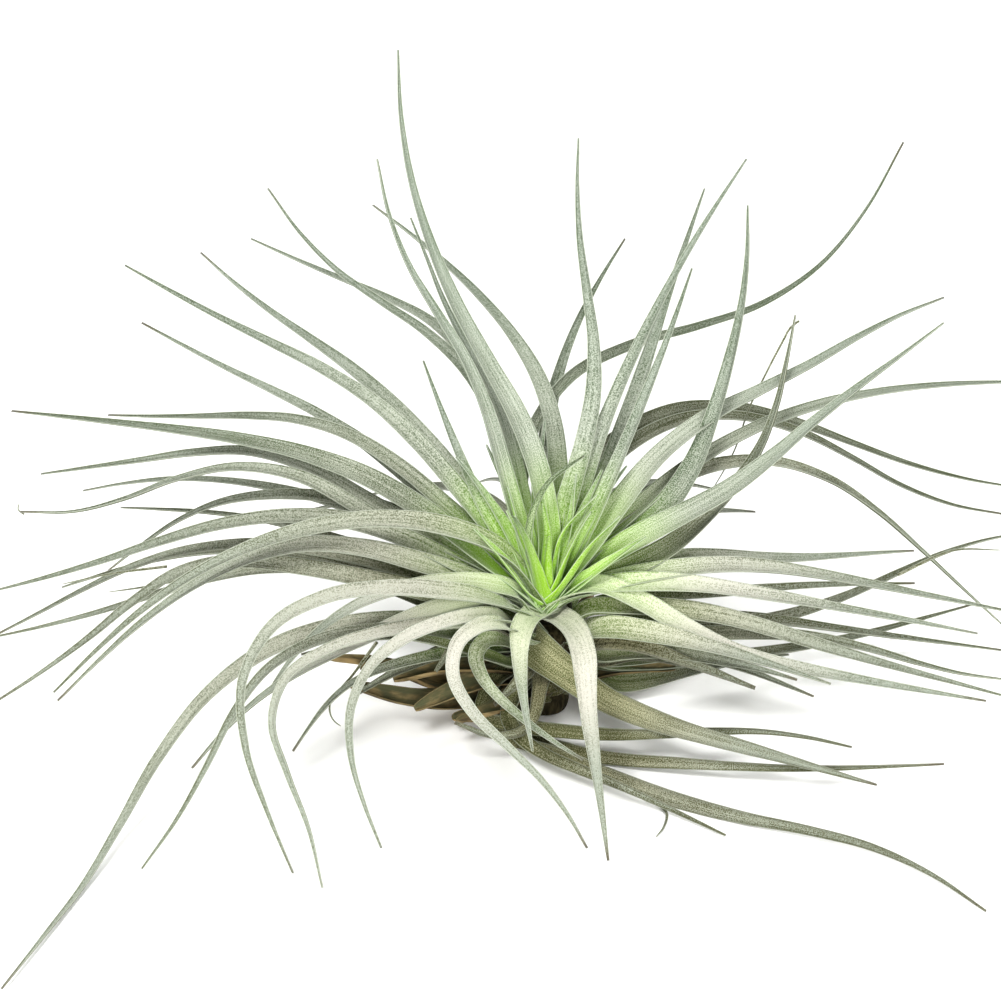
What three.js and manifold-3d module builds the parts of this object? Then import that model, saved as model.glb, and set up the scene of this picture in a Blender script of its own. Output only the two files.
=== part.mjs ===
// An air plant (a silver-leaved Tillandsia) at its real size, standing on the flat foot of its short stem.
// Units are millimetres, +Z is up, and the origin is the middle of the stem's foot.
// The stem carries single channelled leaves all round, a fused crown of upright leaves and a collar
// of dead leaves. Every leaf is a path that was seen from one viewpoint, with a depth of its own.

import * as THREE from "three";
import { mergeVertices } from "three/addons/utils/BufferGeometryUtils.js";
import Module from "manifold-3d";

const wasm = await Module();
wasm.setup();

// ---- driving dimensions ----
const footRadius = 5; // the flat spot that the plant stands on
const columnRadius = 5.6;
const bulbCentre = new THREE.Vector3(0, 0, 16); // the swelling that the leaves grow from
const bulbRadius = 9;
const bulbTopAngle = THREE.MathUtils.degToRad(60); // the swelling is cut flat this high up, for the crown
const stemSides = 24;
const rootGap = 0.35; // between the swelling and a leaf that is a piece of its own

// Where the leaves of each kind fan out from, how far from it they start, and how they narrow:
// the smaller the taper, the blunter the end.
const bases = {
  crown: { centre: new THREE.Vector3(0, 0, 26), start: 2, taper: 0.85 },
  dead_leaves: { centre: new THREE.Vector3(0, 0, 4), start: 6.9, taper: 0.45 },
  single: { centre: bulbCentre, start: bulbRadius + rootGap, taper: 0.85 },
};
const core = { from: 24.2, shoulder: 28, to: 37, radius: 4.3, topRadius: 1.4, sides: 12 }; // of the crown
const heartLeaves = 10;
const heartLength = [16, 40]; // innermost and outermost leaf of the heart
const heartWidth = [2.4, 4.2];
const heartLean = [6, 32]; // degrees from upright
const heartBow = 0.4; // share of a heart leaf's reach that grows with the square of the way along it
const heartEase = 0.1; // how much it rises ahead of an even pace
const heartFoot = [1.4, 2]; // how far out and up from the crown's centre it starts
const goldenAngle = THREE.MathUtils.degToRad(137.5);

const stations = 11; // cross-sections of a blade
const firstMark = 1.45; // distance from the centre to the second of them, as a share of the first's
const rootThick = 0.8;
const tipThick = 0.62;
const channelShare = 0.14; // depth of a blade's channel, as a share of its width
const rootShare = 0.4; // width of a blade at its root, as a share of its full width
const fullWidthAt = 0.14; // share of the length at which a blade reaches its full width
const tipWidth = 0.8;
const widestBlade = 7;

const collar = { inner: columnRadius + 0.35, outer: 7.6, from: 2.4, to: 5.6 }; // of dead leaf bases

const lowest = 1.3; // height of the middle of a blade that lies on the surface
const clearance = 0.7; // kept between blades
const slopeRoom = 0.12; // more of it where wide blades cross, as a share of their two widths
const stemRoom = 11.5; // from the axis to the middle of a blade that passes the stem
const rounds = 260; // of bending clear
const ownShare = 0.5; // of a push stays with its mark, and the marks to each side share the rest
const fusedStations = 3; // leaves of one node may meet this close to their roots

// ---- the viewpoint that the leaves were laid out from ----
// The plane of view passes through the stem's foot. A place on it is [right, up] of the foot.
const viewTilt = THREE.MathUtils.degToRad(28);
const viewDistance = 600;
const viewCentre = [-10.6, 48.7];

const viewUp = new THREE.Vector3(0, Math.sin(viewTilt), Math.cos(viewTilt));
const towardsViewer = new THREE.Vector3(0, -Math.cos(viewTilt), Math.sin(viewTilt));
const planePoint = (right, up) => new THREE.Vector3(right, 0, 0).addScaledVector(viewUp, up);
const eye = planePoint(...viewCentre).addScaledVector(towardsViewer, viewDistance);

// The point that is seen at [right, up], brought nearer to the eye than the plane by a distance.
function seen(right, up, near) {
  return planePoint(right, up).lerp(eye, near / viewDistance);
}

// How near a point seen at [right, up] is, if it is this far back from the foot.
function nearAtBack(right, up, back) {
  const onPlane = planePoint(right, up).y;
  return (viewDistance * (back - onPlane)) / (eye.y - onPlane);
}

// How near it is at least, so that it isn't below the surface.
function nearAtFloor(right, up) {
  const onPlane = planePoint(right, up).z;
  return (viewDistance * (lowest - onPlane)) / (eye.z - onPlane);
}

// ---- the leaves: kind, full width, how far back the middle and the tip are, path out to the tip ----
// Those of the crown are fused, and so are the dead ones. Each other leaf is a piece of its own.
const leaves = [
  // upright and behind
  ["crown", 6.0, 12, 38,
    [0, 49], [-5, 67], [-13, 79], [-23.3, 100], [-29.5, 117], [-33, 129], [-34.8, 141], [-35, 156]],
  ["crown", 5.4, 6, 22, [-4, 36], [-12, 62], [-18, 82], [-28, 96], [-36.8, 114], [-40, 130]],
  ["crown", 3.8, 26, 60, [-7, 57], [-12, 76], [-20, 86], [-28, 107], [-32, 116]],
  ["crown", 5.4, 38, 84, [3, 57], [0, 75], [-10, 90.5], [-24, 105.5], [-41, 119]],
  ["crown", 4.2, 36, 76, [-7, 54], [-20, 82], [-41, 97], [-57, 110], [-66, 123]],
  ["crown", 4.6, 44, 94, [-9, 61], [-21, 87], [-46, 100], [-70, 111]],
  ["crown", 5.6, 30, 80, [-8, 36], [-18, 49], [-30, 65.5], [-53, 85.3], [-67, 94.5], [-82, 107.7]],
  ["crown", 5.2, 22, 60, [-9, 36], [-25, 56], [-38, 70.5], [-55, 81], [-72, 89.3], [-100, 104.7]],
  ["crown", 4.8, 30, 70, [-10, 33], [-27, 49], [-51, 68], [-66, 75], [-96, 91]],
  ["crown", 4.2, 10, 28, [-5, 32], [-13, 44], [-23, 66], [-29, 82]],
  ["crown", 5.4, 16, 48, [3, 41], [8.5, 60], [12.5, 78], [11.3, 90], [8, 112], [8, 135]],
  ["crown", 5.0, 46, 92, [0, 46], [0, 63], [2.5, 76], [9, 94], [19, 111]],
  ["crown", 4.6, 18, 50, [8, 49], [14, 67], [23, 87], [34, 108], [48, 130]],
  ["crown", 5.6, 30, 72, [8, 38], [16, 59], [24, 82], [30, 100], [38, 123]],
  ["crown", 5.0, 8, 26, [5, 32], [12, 46], [24, 74], [32, 95], [35, 104]],
  ["crown", 6.8, 12, 34, [8, 31], [20, 41], [33.5, 55.5], [42.5, 73], [48, 96], [48.3, 119]],
  ["crown", 3.4, 60, 112, [-6, 50], [-4, 68], [6, 79], [25, 87], [51, 95], [70, 108.5], [85.3, 134]],
  ["crown", 6.6, 16, 48, [11, 37], [21, 49], [32, 61.5], [64, 84], [95, 97]],
  ["crown", 6.6, 3, 12, [12, 33], [22, 40], [46, 52], [64, 68], [85, 83], [95, 91]],
  ["crown", 5.0, 22, 58, [10, 34], [23, 49], [39, 60], [60, 70], [92, 76], [118, 77]],
  ["crown", 6.6, 10, 28, [11, 29], [22.5, 31.5], [33, 39.5], [44, 51], [51, 61], [57, 74], [60.5, 92]],
  ["crown", 6.4, 14, 46, [-6, 28], [-15, 35], [-34, 50], [-57, 59.5], [-87, 65.2], [-127, 70]],
  ["crown", 4.6, 24, 62, [-8, 33], [-23, 46], [-41, 62], [-52, 66.5], [-66, 68.5], [-87, 68.5], [-104, 69]],
  ["crown", 5.2, 17, 46, [-9, 30], [-25, 38], [-42, 47], [-63, 58], [-87, 59], [-120, 55]],
  // to the left
  ["crown", 5.0, 12, 31, [-10, 27], [-40, 44], [-57, 54.3], [-81, 55.8], [-108, 46], [-120, 43], [-125, 46]],
  ["crown", 3.8, 28, 64, [-12, 30], [-50, 48], [-87, 54], [-110, 51]],
  ["left_leaf", 3.8, 30, 68, [-12, 24], [-45, 38], [-73, 45], [-101, 47]],
  ["crown", 4.8, 16, 38, [-12, 29], [-40, 48], [-56, 52], [-66, 52], [-87, 44], [-104, 32]],
  ["crown", 5.6, 6, 18, [-12, 27], [-30, 38], [-54, 44], [-78, 43], [-102, 35], [-132, 27]],
  ["left_leaf", 4.6, 12, 28, [-12, 22], [-40, 34], [-69, 38], [-90, 36], [-118, 23], [-132, 16]],
  ["left_leaf", 5.0, -3, -5, [-12, 19], [-45, 33], [-81, 35], [-96, 25], [-118, 9], [-132, 0]],
  ["crown", 5.8, -8, -20, [-4, 29], [-13, 39], [-40, 44], [-69, 38], [-93, 25], [-117, 3]],
  ["crown", 5.8, -5, -12, [-6, 25], [-18, 30], [-46, 36], [-78, 32], [-102, 14], [-116, 1]],
  ["left_leaf", 4.0, 4, 9, [-12, 17], [-45, 31], [-72, 32], [-93, 26], [-110, 21], [-132, 16]],
  ["left_leaf", 4.2, 22, 48, [-12, 20], [-60, 36], [-90, 35], [-115, 28]],
  ["left_leaf", 5.4, 10, 24, [-11, 20], [-38, 28], [-57, 33], [-75, 32]],
  ["crown", 5.6, -13, -28, [-4, 22], [-8, 28], [-19, 29], [-40, 26], [-58, 14], [-66, 3]],
  ["crown", 5.4, -20, -50, [-3, 21], [-10, 25], [-22, 24], [-46, 14], [-69, 1], [-84, -15]],
  ["left_leaf", 3.6, -18, -22, [2, 7], [-7, 10], [-22, 14], [-34, 17], [-58, 12]],
  // to the right
  ["crown", 4.0, 46, 86, [6, 52], [22, 68], [42, 71], [61, 66.5], [94, 55], [106, 52.3], [114, 51.5]],
  ["crown", 4.0, 42, 80,
    [7, 46], [15, 59], [30, 67.5], [45, 68.5], [65, 63.3], [84, 52.5], [98, 46.5], [110, 45.3]],
  ["crown", 4.4, 20, 30, [12, 40], [37, 56.5], [52, 58.5], [66, 54.5], [80, 45], [90, 36], [109, 19]],
  ["crown", 5.0, 10, 26, [11, 29], [20, 33], [33, 36], [52, 34.7], [88, 37]],
  ["crown", 6.0, 2, 8, [11, 27], [25, 30.5], [49, 33], [78, 28.5], [112, 22]],
  ["right_leaf", 4.0, 20, 56, [10, 16], [37, 18], [61, 22], [80, 29.5], [99, 38], [114, 41]],
  ["right_leaf", 3.6, 12, 28, [12, 24], [39, 26.5], [62, 28.5], [88, 29]],
  ["crown", 5.4, -4, -5, [8, 27], [17, 28.5], [33, 29], [59, 25], [82, 21], [103, 17]],
  ["right_leaf", 5.4, -5, -12, [9, 25], [25, 24], [46, 20], [73, 12], [110, 2]],
  ["crown", 5.8, -12, -26, [4, 26], [12, 28], [20, 26], [36, 16], [60, 9], [105, 1]],
  ["right_leaf", 6.4, -14, -30, [12, 19], [22, 18], [46, 12], [68, 5]],
  ["right_leaf", 5.8, -8, -18, [11, 12], [28, 12], [46, 10], [60, 6]],
  ["right_leaf", 4.4, 10, 22, [13, 18], [45, 21], [62, 19], [109, 13]],
  ["right_leaf", 4.6, -2, -6, [12, 14], [45, 17], [71, 15], [99, 7], [110, 6]],
  ["right_leaf", 4.2, 12, 40, [12, 9], [40, 11], [68, 15], [84, 19], [102, 24]],
  ["right_leaf", 6.0, 4, 16, [12, 8], [19, 5], [25, 6], [44, 10], [58, 12]],
  ["right_leaf", 4.4, -6, -16, [13, 12], [30, 13], [46, 9], [64, 2]],
  // low, lying forward on the surface
  ["low_leaf", 7.0, -30, -38, [2, 11.5], [9.5, 4.3], [19, -1], [30, -5.2], [48, -10.2], [79, -19]],
  ["low_leaf", 4.2, -24, -26, [-17, 0], [-15, -2.5], [-6, -4], [3, -6], [25, -6.8], [52, -6], [73, -10]],
  ["low_leaf", 3.8, -30, -34, [-8, -3], [0, -9.5], [12, -12.2], [25, -13], [57, -15], [95, -14]],
  ["low_leaf", 5.4, -40, -76,
    [-14, -2], [-13, -6], [0, -10.5], [9.5, -14.3], [28, -22], [62, -30], [83, -34.7], [105, -49]],
  ["low_leaf", 3.6, -34, -50, [-9, -4], [-2, -10.5], [8, -15], [25, -22.5], [43, -31]],
  // arching forward
  ["front_leaf", 4.4, -50, -62, [-6, 19], [-13, 20], [-21, 15], [-23, 7], [-16, -3], [0, -18], [10, -34]],
  ["crown", 5.0, -30, -46, [-2, 20], [-5, 19], [-6, 10], [-5, 0], [-3, -11]],
  ["crown", 5.6, -46, -64, [3, 20], [7, 19], [9, 12], [10, 0], [12, -14], [15, -37]],
  ["front_leaf", 4.6, -27, -38, [-8, 17], [-16, 15], [-17, 10], [-10, 1], [1, -8], [9, -13]],
  ["front_leaf", 4.6, -42, -62, [-8, 21], [-22, 20], [-34, 15], [-44, 7], [-47, -5], [-44, -20], [-39, -34]],
  ["front_leaf", 3.8, -18, -36, [-10, 14], [-30, 11], [-48, 4], [-60, -11]],
  ["front_leaf", 5.2, -42, -68,
    [-8, 23], [-28, 27], [-52, 25.5], [-67, 18], [-73.5, 4], [-72, -6], [-66, -24], [-60, -40]],
  ["front_leaf", 4.6, -40, -74,
    [-9, 18], [-34, 18], [-59, 9], [-68, -1], [-60, -15], [-55, -32], [-53, -43.5]],
  ["front_leaf", 5.0, -30, -98,
    [-9, 17], [-34, 20], [-63, 15], [-87, -4.5], [-104.3, -35.5], [-129.3, -67.5]],
  ["front_leaf", 4.2, -36, -72, [-9, 15], [-40, 17], [-66, 10], [-75, -4], [-85, -24], [-96, -39]],
  // dead, low on the stem
  ["dead_leaves", 7.0, 0, -2, [-25, 5], [-40, 10], [-51, 11]],
  ["dead_leaves", 6.6, -8, -14, [-14, 2], [-25, 1], [-35, 2], [-47, 5]],
  ["dead_leaves", 6.4, -8, -14, [-9, -1], [-22, -3]],
  ["dead_leaves", 6.2, 12, 28, [12, 8], [30, 14], [42, 17]],
  ["dead_leaves", 6.2, 20, 42, [-6, 12], [-14, 20], [-22, 24]],
  ["dead_leaves", 6.0, 24, 50, [3, 12], [8, 22], [11, 26]],
  // away behind, where the others hide them
  ["back_leaf", 5.0, 46, 100, [-6, 40], [-16, 50], [-28, 52], [-42, 50]],
  ["crown", 4.6, 50, 112, [-3, 42], [-8, 52], [-12, 54], [-16, 53]],
  ["crown", 5.0, 52, 110, [2, 40], [6, 50], [10, 53], [16, 52]],
  ["back_leaf", 4.6, 50, 104, [6, 38], [16, 50], [28, 53], [42, 51]],
  ["back_leaf", 4.8, 40, 92, [-9, 34], [-28, 45], [-44, 48], [-58, 46]],
  ["back_leaf", 4.8, 38, 90, [10, 32], [26, 42], [38, 46], [50, 46]],
  ["back_leaf", 4.6, 44, 96, [0, 36], [-2, 44], [-4, 47], [-6, 45]],
];

// ---- from a row to a blade's stations ----
// The path runs from the centre of its kind, and its depth follows a parabola through middle and tip.
function layOut([kind, width, middleBack, tipBack, ...path]) {
  const { centre, start, taper } = bases[kind] ?? bases.single;
  const onPlane = [[0, centre.z * viewUp.z], ...path].map(([right, up]) => new THREE.Vector3(right, up, 0));
  const seenPath = new THREE.CatmullRomCurve3(onPlane, false, "centripetal");
  const fine = [];
  const fineSteps = 80;
  for (let i = 0; i <= fineSteps; i++) {
    const share = i / fineSteps;
    const place = seenPath.getPointAt(share);
    const back = share * (4 * middleBack - tipBack) + share * share * (2 * tipBack - 4 * middleBack);
    const near = Math.max(nearAtBack(place.x, place.y, back), nearAtFloor(place.x, place.y));
    const point = seen(place.x, place.y, near);
    if (point.distanceTo(centre) < start * firstMark) continue;
    fine.push({ right: place.x, up: place.y, near, point });
  }
  const along = [0];
  for (let i = 1; i < fine.length; i++) {
    along.push(along[i - 1] + fine[i].point.distanceTo(fine[i - 1].point));
  }
  const length = along[along.length - 1];
  const marks = [];
  for (let k = 0; k < stations - 1; k++) {
    const target = (length * k) / (stations - 2);
    let i = along.findIndex((a) => a >= target - 1e-9);
    i = Math.max(i, 1);
    const t = (target - along[i - 1]) / (along[i] - along[i - 1]);
    const mix = (key) => THREE.MathUtils.lerp(fine[i - 1][key], fine[i][key], t);
    marks.push(seen(mix("right"), mix("up"), mix("near")));
  }
  return { kind, width, centre, start, taper, marks };
}

// A leaf's middle line: its root faces its centre, and its other stations are where they are seen.
function findLine(leaf) {
  const points = leaf.marks.map((mark) => mark.clone());
  const out = points[0].clone().sub(leaf.centre).normalize();
  points.unshift(leaf.centre.clone().addScaledVector(out, leaf.start));
  const count = points.length;
  const tangents = points.map((_, k) => {
    if (k === 0) return out.clone();
    return points[Math.min(k + 1, count - 1)].clone().sub(points[k - 1]).normalize();
  });
  // The side of a blade starts level and is carried along without twist. Its face looks up and inwards.
  const sides = [new THREE.Vector3(0, 0, 1).cross(out).normalize()];
  for (let k = 1; k < count; k++) {
    const side = sides[k - 1].clone();
    sides.push(side.addScaledVector(tangents[k], -side.dot(tangents[k])).normalize());
  }
  const faces = points.map((_, k) => tangents[k].clone().cross(sides[k]).normalize());
  Object.assign(leaf, { points, tangents, sides, faces });
}

function widthAt(leaf, share) {
  const swell = rootShare + (1 - rootShare) * THREE.MathUtils.smoothstep(share, 0, fullWidthAt);
  return tipWidth + (leaf.width * swell - tipWidth) * Math.pow(1 - share, leaf.taper);
}
const thickAt = (share) => THREE.MathUtils.lerp(rootThick, tipThick, share);

// ---- bending clear ----
// Parameters of the closest points of two segments, each given by its start and its direction.
function closest(startA, alongA, startB, alongB) {
  const from = startA.clone().sub(startB);
  const aa = alongA.dot(alongA);
  const bb = alongB.dot(alongB);
  const ab = alongA.dot(alongB);
  const fa = alongA.dot(from);
  const fb = alongB.dot(from);
  const spread = aa * bb - ab * ab;
  const limit = (value) => THREE.MathUtils.clamp(value, 0, 1);
  let s = spread > 1e-6 ? limit((ab * fb - bb * fa) / spread) : 0.5;
  const t = limit((ab * s + fb) / bb);
  s = limit((ab * t - fa) / aa);
  return [s, t];
}

// Adds a push to the two stations that a segment lies between. A leaf's root has no mark of its own.
function bend(leaf, k, share, push) {
  if (k > 0) leaf.pushes[k - 1].addScaledVector(push, 1 - share);
  leaf.pushes[k].addScaledVector(push, share);
}

// Two segments that pass too close push each other apart, square to their faces.
function pushApart(a, ka, b, kb) {
  const alongA = a.points[ka + 1].clone().sub(a.points[ka]);
  const alongB = b.points[kb + 1].clone().sub(b.points[kb]);
  const [s, t] = closest(a.points[ka], alongA, b.points[kb], alongB);
  const apart = a.points[ka].clone().addScaledVector(alongA, s);
  apart.sub(b.points[kb]).addScaledVector(alongB, -t);
  const shareA = (ka + s) / (stations - 1);
  const shareB = (kb + t) / (stations - 1);
  const bothWidths = widthAt(a, shareA) + widthAt(b, shareB);
  const sideRoom = bothWidths / 2 + clearance;
  if (apart.length() > sideRoom) return;
  const faceA = a.faces[ka];
  const faceB = b.faces[kb];
  const face = faceA.clone().addScaledVector(faceB, faceA.dot(faceB) < 0 ? -1 : 1).normalize();
  const over = apart.dot(face);
  const beside = apart.clone().addScaledVector(face, -over).length();
  if (beside > sideRoom) return;
  const faceRoom = (thickAt(shareA) + thickAt(shareB)) / 2 + clearance + bothWidths * slopeRoom;
  const lack = faceRoom * Math.sqrt(1 - (beside / sideRoom) ** 2) - Math.abs(over);
  if (lack <= 0) return;
  face.multiplyScalar((over < 0 ? -lack : lack) / 2);
  bend(a, ka, s, face);
  bend(b, kb, t, face.negate());
}

function bendClear(all) {
  const reach = new THREE.Vector3(1, 1, 1).multiplyScalar(widestBlade / 2 + clearance);
  for (let round = 0; round < rounds; round++) {
    for (const leaf of all) {
      findLine(leaf);
      leaf.pushes = leaf.marks.map(() => new THREE.Vector3());
      leaf.box = new THREE.Box3().setFromPoints(leaf.points).expandByVector(reach);
      leaf.cells = leaf.points.slice(1).map((p, k) => {
        return new THREE.Box3().setFromPoints([leaf.points[k], p]).expandByVector(reach);
      });
    }
    all.forEach((a, i) => {
      for (const b of all.slice(i + 1)) {
        if (!a.box.intersectsBox(b.box)) continue;
        const from = a.kind === b.kind && a.kind in bases ? fusedStations : 0;
        for (let ka = from; ka < stations - 1; ka++) {
          for (let kb = from; kb < stations - 1; kb++) {
            if (a.cells[ka].intersectsBox(b.cells[kb])) pushApart(a, ka, b, kb);
          }
        }
      }
    });
    for (const leaf of all) {
      leaf.marks.forEach((mark, k) => {
        mark.addScaledVector(leaf.pushes[k], ownShare);
        mark.addScaledVector(leaf.pushes[Math.max(k - 1, 0)], (1 - ownShare) / 2);
        mark.addScaledVector(leaf.pushes[Math.min(k + 1, stations - 2)], (1 - ownShare) / 2);
        const fromAxis = Math.hypot(mark.x, mark.y);
        if (mark.z < bulbCentre.z + bulbRadius && fromAxis < stemRoom) {
          mark.x *= stemRoom / fromAxis;
          mark.y *= stemRoom / fromAxis;
        }
        mark.z = Math.max(mark.z, lowest);
      });
    }
  }
  all.forEach(findLine);
}

// ---- solids ----
function bladeGeometry(leaf) {
  const position = [];
  leaf.points.forEach((point, k) => {
    const share = k / (stations - 1);
    const half = widthAt(leaf, share) / 2;
    const rim = widthAt(leaf, share) * channelShare;
    const thick = thickAt(share);
    const section = [
      [-half, rim], [0, 0], [half, rim], [half, rim - thick], [0, -thick], [-half, rim - thick],
    ];
    for (const [across, above] of section) {
      const corner = point.clone().addScaledVector(leaf.sides[k], across);
      corner.addScaledVector(leaf.faces[k], above + thick / 2);
      position.push(corner.x, corner.y, corner.z);
    }
  });
  const index = [];
  const corners = 6;
  for (let k = 0; k < stations - 1; k++) {
    for (let j = 0; j < corners; j++) {
      const a = k * corners + j;
      const b = k * corners + ((j + 1) % corners);
      const [c, d] = [a + corners, b + corners];
      // upper and lower side are split alike
      if (j < 3) index.push(a, c, b, b, c, d);
      else index.push(a, d, b, a, c, d);
    }
  }
  const cap = [[0, 1, 5], [5, 1, 4], [1, 2, 4], [4, 2, 3]];
  const last = (stations - 1) * corners;
  for (const [a, b, c] of cap) {
    index.push(a, b, c);
    index.push(last + a, last + c, last + b);
  }
  const geometry = new THREE.BufferGeometry();
  geometry.setAttribute("position", new THREE.Float32BufferAttribute(position, 3));
  geometry.setIndex(index);
  return geometry;
}

// A solid of revolution with its faces pointing out, from a profile that runs upwards.
function turned(profile, sides) {
  const geometry = new THREE.LatheGeometry(profile.map(([r, z]) => new THREE.Vector2(r, z)), sides);
  geometry.rotateX(Math.PI / 2);
  return geometry;
}

function toSolid(geometry) {
  const bare = geometry.clone();
  bare.deleteAttribute("normal");
  bare.deleteAttribute("uv");
  const merged = mergeVertices(bare, 1e-4);
  const triangles = [];
  const old = merged.index.array;
  for (let i = 0; i < old.length; i += 3) {
    const [a, b, c] = [old[i], old[i + 1], old[i + 2]];
    if (a !== b && b !== c && c !== a) triangles.push(a, b, c);
  }
  const vertProperties = new Float32Array(merged.attributes.position.array);
  const triVerts = new Uint32Array(triangles);
  return new wasm.Manifold(new wasm.Mesh({ numProp: 3, vertProperties, triVerts }));
}

function toGeometry(solid) {
  const mesh = solid.getMesh();
  const geometry = new THREE.BufferGeometry();
  geometry.setAttribute("position", new THREE.BufferAttribute(mesh.vertProperties, 3));
  geometry.setIndex(new THREE.BufferAttribute(mesh.triVerts, 1));
  return geometry;
}

// ---- finishes ----
const finish = (color, roughness) => new THREE.MeshStandardMaterial({ color, roughness, metalness: 0 });
const silverLeaf = finish("#aab39c", 0.85);
const greenHeart = finish("#9fc67c", 0.7);
const deadLeaf = finish("#a98a63", 0.9);
const driedStem = finish("#4a3c2c", 0.95);

const plant = new THREE.Group();
plant.name = "air_plant";

function place(name, geometry, material) {
  const mesh = new THREE.Mesh(geometry, material);
  mesh.name = name;
  plant.add(mesh);
}

// ---- stem: a flat cut foot, a column and the swelling that the leaves grow from ----
function stemGeometry() {
  const profile = [[0, 0], [footRadius, 0], [columnRadius, 1.2]];
  const fromAngle = -Math.acos(columnRadius / bulbRadius);
  const arcSteps = 8;
  for (let i = 0; i <= arcSteps; i++) {
    const angle = THREE.MathUtils.lerp(fromAngle, bulbTopAngle, i / arcSteps);
    profile.push([bulbRadius * Math.cos(angle), bulbCentre.z + bulbRadius * Math.sin(angle)]);
  }
  profile.push([0, bulbCentre.z + bulbRadius * Math.sin(bulbTopAngle)]);
  return turned(profile, stemSides);
}

// ---- crown: a slim core with the upright leaves and the young leaves of the heart, all fused ----
function heartLeaf(i) {
  const share = i / (heartLeaves - 1);
  const lean = THREE.MathUtils.degToRad(THREE.MathUtils.lerp(...heartLean, share));
  const length = THREE.MathUtils.lerp(...heartLength, share);
  const around = i * goldenAngle;
  const outwards = new THREE.Vector3(Math.cos(around), Math.sin(around), 0);
  const points = [];
  for (let k = 0; k < stations; k++) {
    const along = k / (stations - 1);
    const out = heartFoot[0] + Math.sin(lean) * length * along * (1 - heartBow + heartBow * along);
    const up = heartFoot[1] + Math.cos(lean) * length * along * (1 + heartEase - heartEase * along);
    points.push(bases.crown.centre.clone().addScaledVector(outwards, out).add(new THREE.Vector3(0, 0, up)));
  }
  const width = THREE.MathUtils.lerp(...heartWidth, share);
  const leaf = { kind: "crown", width, taper: bases.crown.taper, points };
  leaf.tangents = points.map((_, k) => {
    return points[Math.min(k + 1, stations - 1)].clone().sub(points[Math.max(k - 1, 0)]).normalize();
  });
  leaf.sides = points.map(() => new THREE.Vector3(0, 0, 1).cross(outwards).normalize());
  leaf.faces = leaf.tangents.map((tangent, k) => tangent.clone().cross(leaf.sides[k]).normalize());
  return leaf;
}

const grown = leaves.map(layOut);
bendClear(grown);
const heart = Array.from({ length: heartLeaves }, (_, i) => heartLeaf(i));

function crownGeometry() {
  const { from, shoulder, to, radius, topRadius, sides } = core;
  const profile = [[0, from], [radius, from], [radius, shoulder], [topRadius, to], [0, to]];
  let solid = toSolid(turned(profile, sides));
  const ofCrown = grown.filter((leaf) => leaf.kind === "crown");
  for (const leaf of [...ofCrown, ...heart]) solid = solid.add(toSolid(bladeGeometry(leaf)));
  // the largest body alone, so that hollows sealed by the fusing are filled
  const bodies = solid.decompose().sort((a, b) => b.volume() - a.volume());
  return toGeometry(bodies[0]);
}

// ---- dead leaves: blunt old blades on a collar of their joined bases ----
function deadGeometry() {
  const { inner, outer, from, to } = collar;
  const profile = [[inner, from], [outer, from], [outer, to], [inner, to], [inner, from]];
  let solid = toSolid(turned(profile, stemSides));
  for (const leaf of grown) {
    if (leaf.kind === "dead_leaves") solid = solid.add(toSolid(bladeGeometry(leaf)));
  }
  return toGeometry(solid);
}

place("stem", stemGeometry(), driedStem);
place("dead_leaves", deadGeometry(), deadLeaf);
place("crown", crownGeometry(), greenHeart);
const placed = {};
for (const leaf of grown) {
  if (leaf.kind in bases) continue;
  placed[leaf.kind] = (placed[leaf.kind] ?? 0) + 1;
  const number = String(placed[leaf.kind]).padStart(2, "0");
  place(`${leaf.kind}_${number}`, bladeGeometry(leaf), silverLeaf);
}

export default plant;
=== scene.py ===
# An air plant (a silver-leaved Tillandsia) at its real size, dressed leaf by leaf over its CAD nodes.
# Lengths are millimetres until a mesh is made. +Z is up, and the origin is the middle of the stem's foot.
import math

import bpy
import numpy as np
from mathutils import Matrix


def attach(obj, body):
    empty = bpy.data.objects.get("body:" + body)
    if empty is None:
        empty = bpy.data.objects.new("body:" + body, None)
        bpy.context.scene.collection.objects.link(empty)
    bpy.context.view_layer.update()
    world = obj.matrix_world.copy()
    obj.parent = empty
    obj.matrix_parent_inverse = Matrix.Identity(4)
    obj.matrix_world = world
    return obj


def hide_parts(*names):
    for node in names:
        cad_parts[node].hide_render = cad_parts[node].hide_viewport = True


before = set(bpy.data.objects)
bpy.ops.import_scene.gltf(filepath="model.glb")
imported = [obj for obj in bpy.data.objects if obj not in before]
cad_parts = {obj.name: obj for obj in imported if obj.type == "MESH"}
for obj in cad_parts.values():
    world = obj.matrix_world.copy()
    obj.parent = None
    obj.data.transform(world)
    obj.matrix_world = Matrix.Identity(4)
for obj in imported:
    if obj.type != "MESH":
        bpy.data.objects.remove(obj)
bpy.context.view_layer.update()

# ---- the viewpoint that the leaves were laid out from; a place in its plane is [right, up] of the foot
view = {"tilt": 28, "distance": 600, "centre": (-10.6, 48.7), "lens": 90.63}
viewTilt = math.radians(view["tilt"])
viewUp = np.array([0, math.sin(viewTilt), math.cos(viewTilt)])
towardsViewer = np.array([0, -math.cos(viewTilt), math.sin(viewTilt)])


# a place in the plane of view: right along X, up along the view's own upwards direction
def planePoint(right, up):
    right, up = np.asarray(right, float), np.asarray(up, float)
    return np.stack([right, up * viewUp[1], up * viewUp[2]], axis=-1)


eye = planePoint(*view["centre"]) + view["distance"] * towardsViewer


# the plane point moved towards the eye by a share of the way
def seen(right, up, near):
    onPlane = planePoint(right, up)
    return onPlane + (eye - onPlane) * (np.asarray(near) / view["distance"])[..., None]


# how much nearer than the plane a point seen there is, if it lies at a value of one axis: 1 back, 2 up
def nearWhere(plane, axis, value):
    return view["distance"] * (value - plane[:, axis]) / (eye[axis] - plane[:, axis])


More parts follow.
